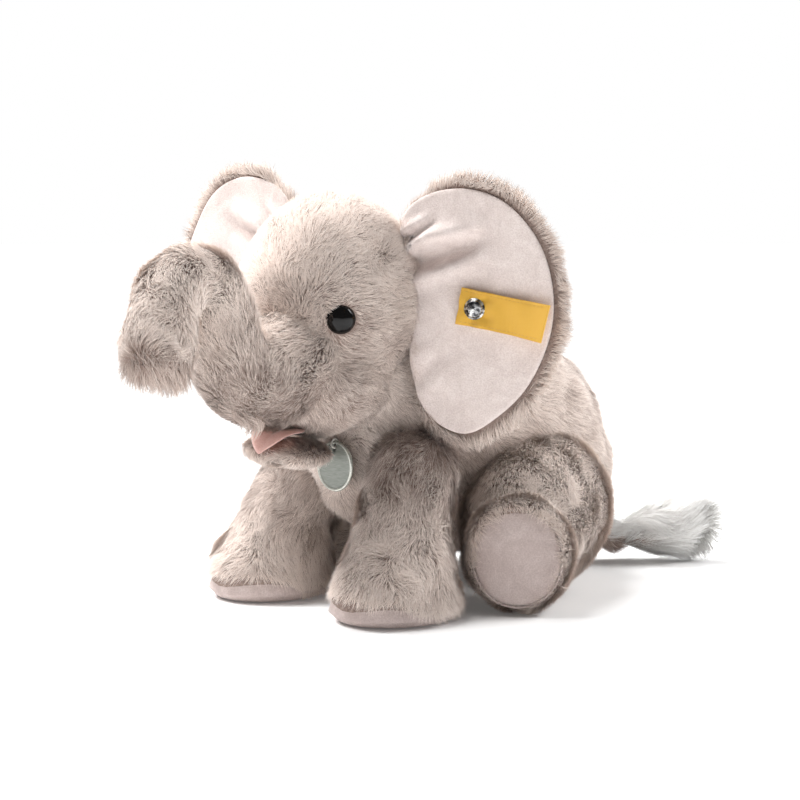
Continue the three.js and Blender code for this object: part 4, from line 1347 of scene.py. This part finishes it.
# %% Disc
DISC_AROUND, RIM_ROWS = 96, (2, 5)
half = DISC_THICK / 2
disc_profile = [(0.01, -half), (DISC_R - 1.2, -half), (DISC_R - 0.3, -half * 0.8), (DISC_R, 0.0),
                (DISC_R - 0.3, half * 1.15), (DISC_R - 0.9, half * 1.25), (DISC_R - 1.5, half * 0.85),
                (DISC_R - 2.0, half * 0.8), (6.0, half * 0.95), (0.01, half)]
points, faces = lathed(disc_profile, DISC_AROUND)
disc_tilt = math.radians(2)
disc = piece("chest_disc_plate",
             in_frame(along(points, DISC_AT, (0, -math.cos(disc_tilt), math.sin(disc_tilt)))), faces, SATIN)
disc.data.materials.append(LIGHT_RIM)
for face in disc.data.polygons:
    row = face.index // DISC_AROUND
    face.material_index = 1 if RIM_ROWS[0] <= row <= RIM_ROWS[1] else 0
hole_at = DISC_AT + np.array([0, 0, DISC_R - 2.8])
drill_points, drill_faces = lathed([(1.5, -4), (1.5, 4)], 24)
drill = piece("drill", in_frame(along(drill_points, hole_at, (0, -1, 0))), drill_faces, LIGHT_RIM)
cut = disc.modifiers.new("hole", "BOOLEAN")
cut.operation = "DIFFERENCE"
cut.object = drill
applied(disc)
bpy.data.objects.remove(drill)
joined(disc, "chest_disc", ["chest_disc"])
print("disc made, with", len(disc.data.polygons), "faces")

# %% Thread loop
low, high = (np.array(c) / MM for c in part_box("disc_cord"))
middle = (low + high) / 2
print("loop box", low.round(1), high.round(1))
turns = np.linspace(0, 2 * math.pi, 64, endpoint=False)
radius = (high - low)[1] / 2 - 0.6
ring = np.column_stack([0.15 * np.sin(turns * 3), np.cos(turns) * radius,
                        np.sin(turns) * ((high - low)[2] / 2 - 0.6)])
points, faces = tube(ring + middle, 0.55 + 0.07 * np.sin(turns * 22), 10)
loop_cord = piece("disc_loop", points * MM, faces, CORD_CLOTH)
joined(loop_cord, "body", ["disc_cord"])

# %% [markdown]
# ## Pile over every skin
# The fur flows away from the brow on the head, down the trunk to a whorl at its tip, back and down
# over the body, and down the legs. Skins hidden inside a neighbour get no hairs.

# %% Combing rules
NEAREST_AT_ONCE = 4000


def along_line(stations, place, sign=1.0, extra=(0, 0, 0)):
    line = smooth_line(stations, 60)[:, :3]
    line = place(line) / MM
    way = unit(np.gradient(line, axis=0)) * sign

    def comb(p):
        near = np.empty(len(p), int)
        for start in range(0, len(p), NEAREST_AT_ONCE):
            block = p[start:start + NEAREST_AT_ONCE]
            near[start:start + NEAREST_AT_ONCE] = ((block[:, None] - line[None]) ** 2).sum(2).argmin(1)
        return way[near] + np.array(extra)
    return comb


def both(*rules):
    def keep(p, out):
        ok = np.ones(len(p), bool)
        for rule in rules:
            ok &= rule(p, out)
        return ok
    return keep


def clear_of(spots, distance):
    def keep(p, out):
        ok = np.ones(len(p), bool)
        for spot in spots:
            ok &= np.linalg.norm(p - spot, axis=1) > distance
        return ok
    return keep


def only(side):
    middle = in_head((0, 0, 0))[0] / MM
    return lambda p, out: (p[:, 0] > middle) == (side == "left")


LEAF_STRIP, BARE_FACES = 61, 25


def rim_and_back(face):
    """Hair grows on the back of an ear and on the rim that shows round its lining."""
    return face % LEAF_STRIP > BARE_FACES


print("combing rules made")

# %% Head and lip


brow = in_head((0, -70, 138)) / MM
eyes_clear = clear_of(list(eye_spots.values()), EYE_R + 0.2)
mouth_spot = in_head((1, -52, 92)) / MM


def mouth_clear(p, out):
    q = (p - mouth_spot) / np.array([14.0, 15.0, 8.0])
    return (q ** 2).sum(1) > 1


def face_comb(p):
    way = away_from(brow)(p) + np.array([0, 0, -0.15])
    for spot in eye_spots.values():
        near = np.exp(-(np.linalg.norm(p - spot, axis=1) / 11.0) ** 2)[:, None]
        way = way * (1 - near) + unit(p - spot) * near * 1.3
    return way


def face_trim(p):
    near = np.min([np.linalg.norm(p - spot, axis=1) for spot in eye_spots.values()], axis=0)
    mouth = np.linalg.norm((p - mouth_spot) * np.array([0.7, 1, 1]), axis=1)
    return (0.55 + 0.45 * smoothstep(near, 8, 18)) * (0.6 + 0.4 * smoothstep(mouth, 8, 18))


# The head's fur gets paler towards its crown: painted light from above.
for side in ("left", "right"):
    pile(f"head_pile_{side}", head_cloth, "head", face_comb, 6.2, 1.1, seed=11, trim=face_trim,
         paler=by_height((100, 0.02), (140, 0.05), (160, 0.3), (185, 0.75)),
         keep=both(only(side), eyes_clear, mouth_clear), hidden=(trunk_cloth, body_cloth))
pile("lip_pile", lip_cloth, "head", flow((0.1, -0.6, -0.7)), 5.0, 1.1, seed=19, paler=by_height((90, 0.3)),
     keep=mouth_clear, hidden=(head_cloth,), deep=1.5)

# %% Trunk
tip = in_head(TRUNK[-1][:3]) / MM
tip_out = (in_head(TRUNK[-1][:3]) - in_head(TRUNK[-2][:3])) / MM
tip_out /= np.linalg.norm(tip_out)
down_trunk = along_line(TRUNK, in_head)
WHORL = in_head((7.0, -140.5, 142.0)) / MM + 15.5 * np.array([0.42, -0.85, -0.32])


def trunk_comb(p):
    off = p - tip
    ahead = off @ tip_out
    radial = unit(off - np.outer(ahead, tip_out))
    blend = smoothstep(ahead, -2, 4)[:, None]
    way = down_trunk(p) * (1 - blend) + radial * blend
    apart = p - WHORL
    near = 1 - smoothstep(np.linalg.norm(apart, axis=1), 9, 18)[:, None]
    return way * (1 - near) + unit(apart) * near


def trunk_tone(p):
    """Dark where the trunk leaves the face and pale over its arch, as painted shade and painted light; dark
    again in the whorl, which is the tip's own brown.
    """
    in_whorl = 1 - smoothstep(np.linalg.norm(p - WHORL, axis=1), 2, 9)
    return by_height((95, -0.25), (130, 0.1), (165, 0.7))(p) - 0.75 * in_whorl


pile("trunk_pile", trunk_cloth, "trunk", trunk_comb, 6.4, 1.1, seed=23, paler=trunk_tone,
     hidden=(head_cloth,))

# %% Body
down_back = along_line(BODY, in_frame, -1.0, (0, 0.15, -0.35))
# The body's fur gets paler towards its back: painted light from above.
for side in ("left", "right"):
    pile(f"body_pile_{side}", body_cloth, "body", down_back, 7.6, 1.08, seed=31,
         keep=both(only(side), lambda p, out: (p[:, 2] > 3) | (out[:, 2] > -0.7)),
         hidden=(head_cloth, *legs.values()), paler=by_height((20, 0.1), (70, 0.2), (130, 0.35)))


# %% Legs and ears
def sole_clear(side):
    end = (in_frame if side == "left" else in_right)(HIND_END + HIND_OUT * 1.0) / MM
    facing = HIND_OUT if side == "left" else mirrored(HIND_OUT)

    def keep(p, out):
        off = p - end
        ahead = off @ facing
        flat = off - np.outer(ahead, facing)
        across = np.hypot(flat[:, 0], flat[:, 1]) / (HIND_SOLE[0] + 1.0)
        up = flat[:, 2] / (HIND_SOLE[1] + 1.0)
        return ~((ahead > -4) & (across ** 2 + up ** 2 < 1.0))
    return keep


for side, place in SIDES:
    # The front legs are paler near the feet and darker near the top: painted light low down, and painted
    # shade high up, under the chin and ears.
    pile(f"front_leg_{side}_pile", legs["front", side], f"front_leg_{side}",
         along_line(FRONT_LEG, place), 7.6, 1.08, seed=41,
         keep=lambda p, out: p[:, 2] > sole_edge(p[:, 1] - SHIFT[1] - FRONT_SOLE_AT[1]) - 1.2,
         hidden=(body_cloth,), paler=by_height((8, 0.65), (35, 0.40), (62, 0.0), (90, -0.45)))
    # The hind legs get paler up over the haunch: painted light from above.
    pile(f"hind_leg_{side}_pile", legs["hind", side], f"hind_leg_{side}",
         along_line(HIND_LEG, place), 7.4, 1.08, seed=47,
         keep=both(lambda p, out: (p[:, 2] > 2.5) | (out[:, 2] > -0.7), sole_clear(side)),
         hidden=(body_cloth,), paler=by_height((5, 0.2), (45, 0.6), (85, 0.8)))
    pile(f"ear_{side}_pile", ears[side][1], f"ear_{side}",
         away_from(in_ear(side)((EAR_ROOT[0] - 12, 10, 165)) / MM), 7.4, 1.0, seed=53,
         allowed=rim_and_back, paler=by_height((90, 0.25), (220, 0.40)))
print("pile made")

# %% [markdown]
# ## Long hair of the tail and the trunk's tip
# The tail ends in silky strands, off white and much longer than the fur, that lie along the floor.
# The trunk ends in a dark whorl, with a few long hairs hanging from it.

# %% Long strands
STRAND_POINTS, STRAND_WAVE = 7, 0.24
FEW, STRAND_WIDTHS = ((1.0, (0.32, 0.34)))


def strands(name, roots, out, comb, body, length, droop, width, tone, finish, seed, lock=5.0,
            gather=0.75):
    """Long limp hairs, each built by stepping from its root and bending down as it goes."""
    rng = np.random.default_rng(seed)
    hairs = len(roots)
    way = np.empty((hairs, STRAND_POINTS, 3))
    way[:, 0] = roots
    aim_now = unit(out * 0.55 + comb(roots) * 0.9 + 0.22 * rng.normal(size=roots.shape))
    long = length * rng.uniform(0.6, 1.1, (hairs, 1)) / (STRAND_POINTS - 1)
    for i in range(1, STRAND_POINTS):
        here = way[:, i - 1]
        bend = STRAND_WAVE * swirls(roots + i * 2.3, 22, seed + 3)
        aim_now = unit(aim_now + comb(here) * 0.30 + bend + np.array([0, 0, -droop]))
        way[:, i] = here + aim_now * long
    t = np.linspace(0, 1, STRAND_POINTS)[None, :, None]
    spot = lock_centres(roots, lock, seed)
    to = spot - roots
    to -= out * (to * out).sum(1)[:, None]
    way += to[:, None, :] * gather * t ** 1.3
    thing = ribbons(name, way, out, np.full(hairs, width) * rng.uniform(0.8, 1.2, hairs), tone,
                    finish, shade=0.55)
    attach(thing, body)
    print(name, hairs, "strands")
    return thing


print("strands have", STRAND_POINTS, "points")

# %% Tail and its tuft
pile("tail_pile", tail_cloth, "tail", along_line(TAIL, in_frame), 7.0, 0.8, seed=61,
     paler=by_height((0, -0.25)))
p, out, rng = planted(tuft_cloth, 380 * FEW, 67)
upper, upper_out, _ = planted(tail_cloth, 260 * FEW, 68,
                              lambda p, out: (p[:, 1] > 176 + SHIFT[1]) & (out[:, 2] > -0.4))
p, out = np.vstack([p, upper]), np.vstack([out, upper_out])
strands("tail_tuft_hair", p, out, along_line(TUFT, in_frame), "tail", 20, 0.02, STRAND_WIDTHS[0],
        np.clip(0.72 + 0.2 * rng.normal(size=len(p)), 0, 1), TUFT_FUR, 67, gather=0.25)

# %% Hairs of the trunk's tip
p, out, rng = planted(trunk_cloth, 150 * FEW, 71,
                      lambda p, out: ((p - tip) @ tip_out > -6) & (out @ tip_out > -0.2))
strands("trunk_tip_hair", p, out, flow((0.05, 0.12, -1.0)), "trunk", 11, 0.25, STRAND_WIDTHS[1],
        np.clip(0.32 + 0.16 * rng.normal(size=len(p)), 0, 1), FUR, 71, lock=4.0)

# %% [markdown]
# ## Small hidden parts
# The filling and the washers stay as they were made, and get wadding and moulded plastic finishes.

# %% Finishes of the kept parts
PLASTIC, _ = finish("washer_plastic", 0.45, (0.75, 0.74, 0.70))
toned(PLASTIC, grain(PLASTIC, 300).outputs["Fac"], "Base Color",
      (0.3, (0.68, 0.67, 0.62)), (0.7, (0.80, 0.79, 0.75)))
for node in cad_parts:
    thing = bpy.data.objects.get(node)
    if thing is None or thing.hide_render:
        continue
    made = FILLING if "filling" in node else STEEL if "stud" in node else PLASTIC
    for holder in thing.material_slots:
        holder.material = made
    print("kept", node, "as", made.name)
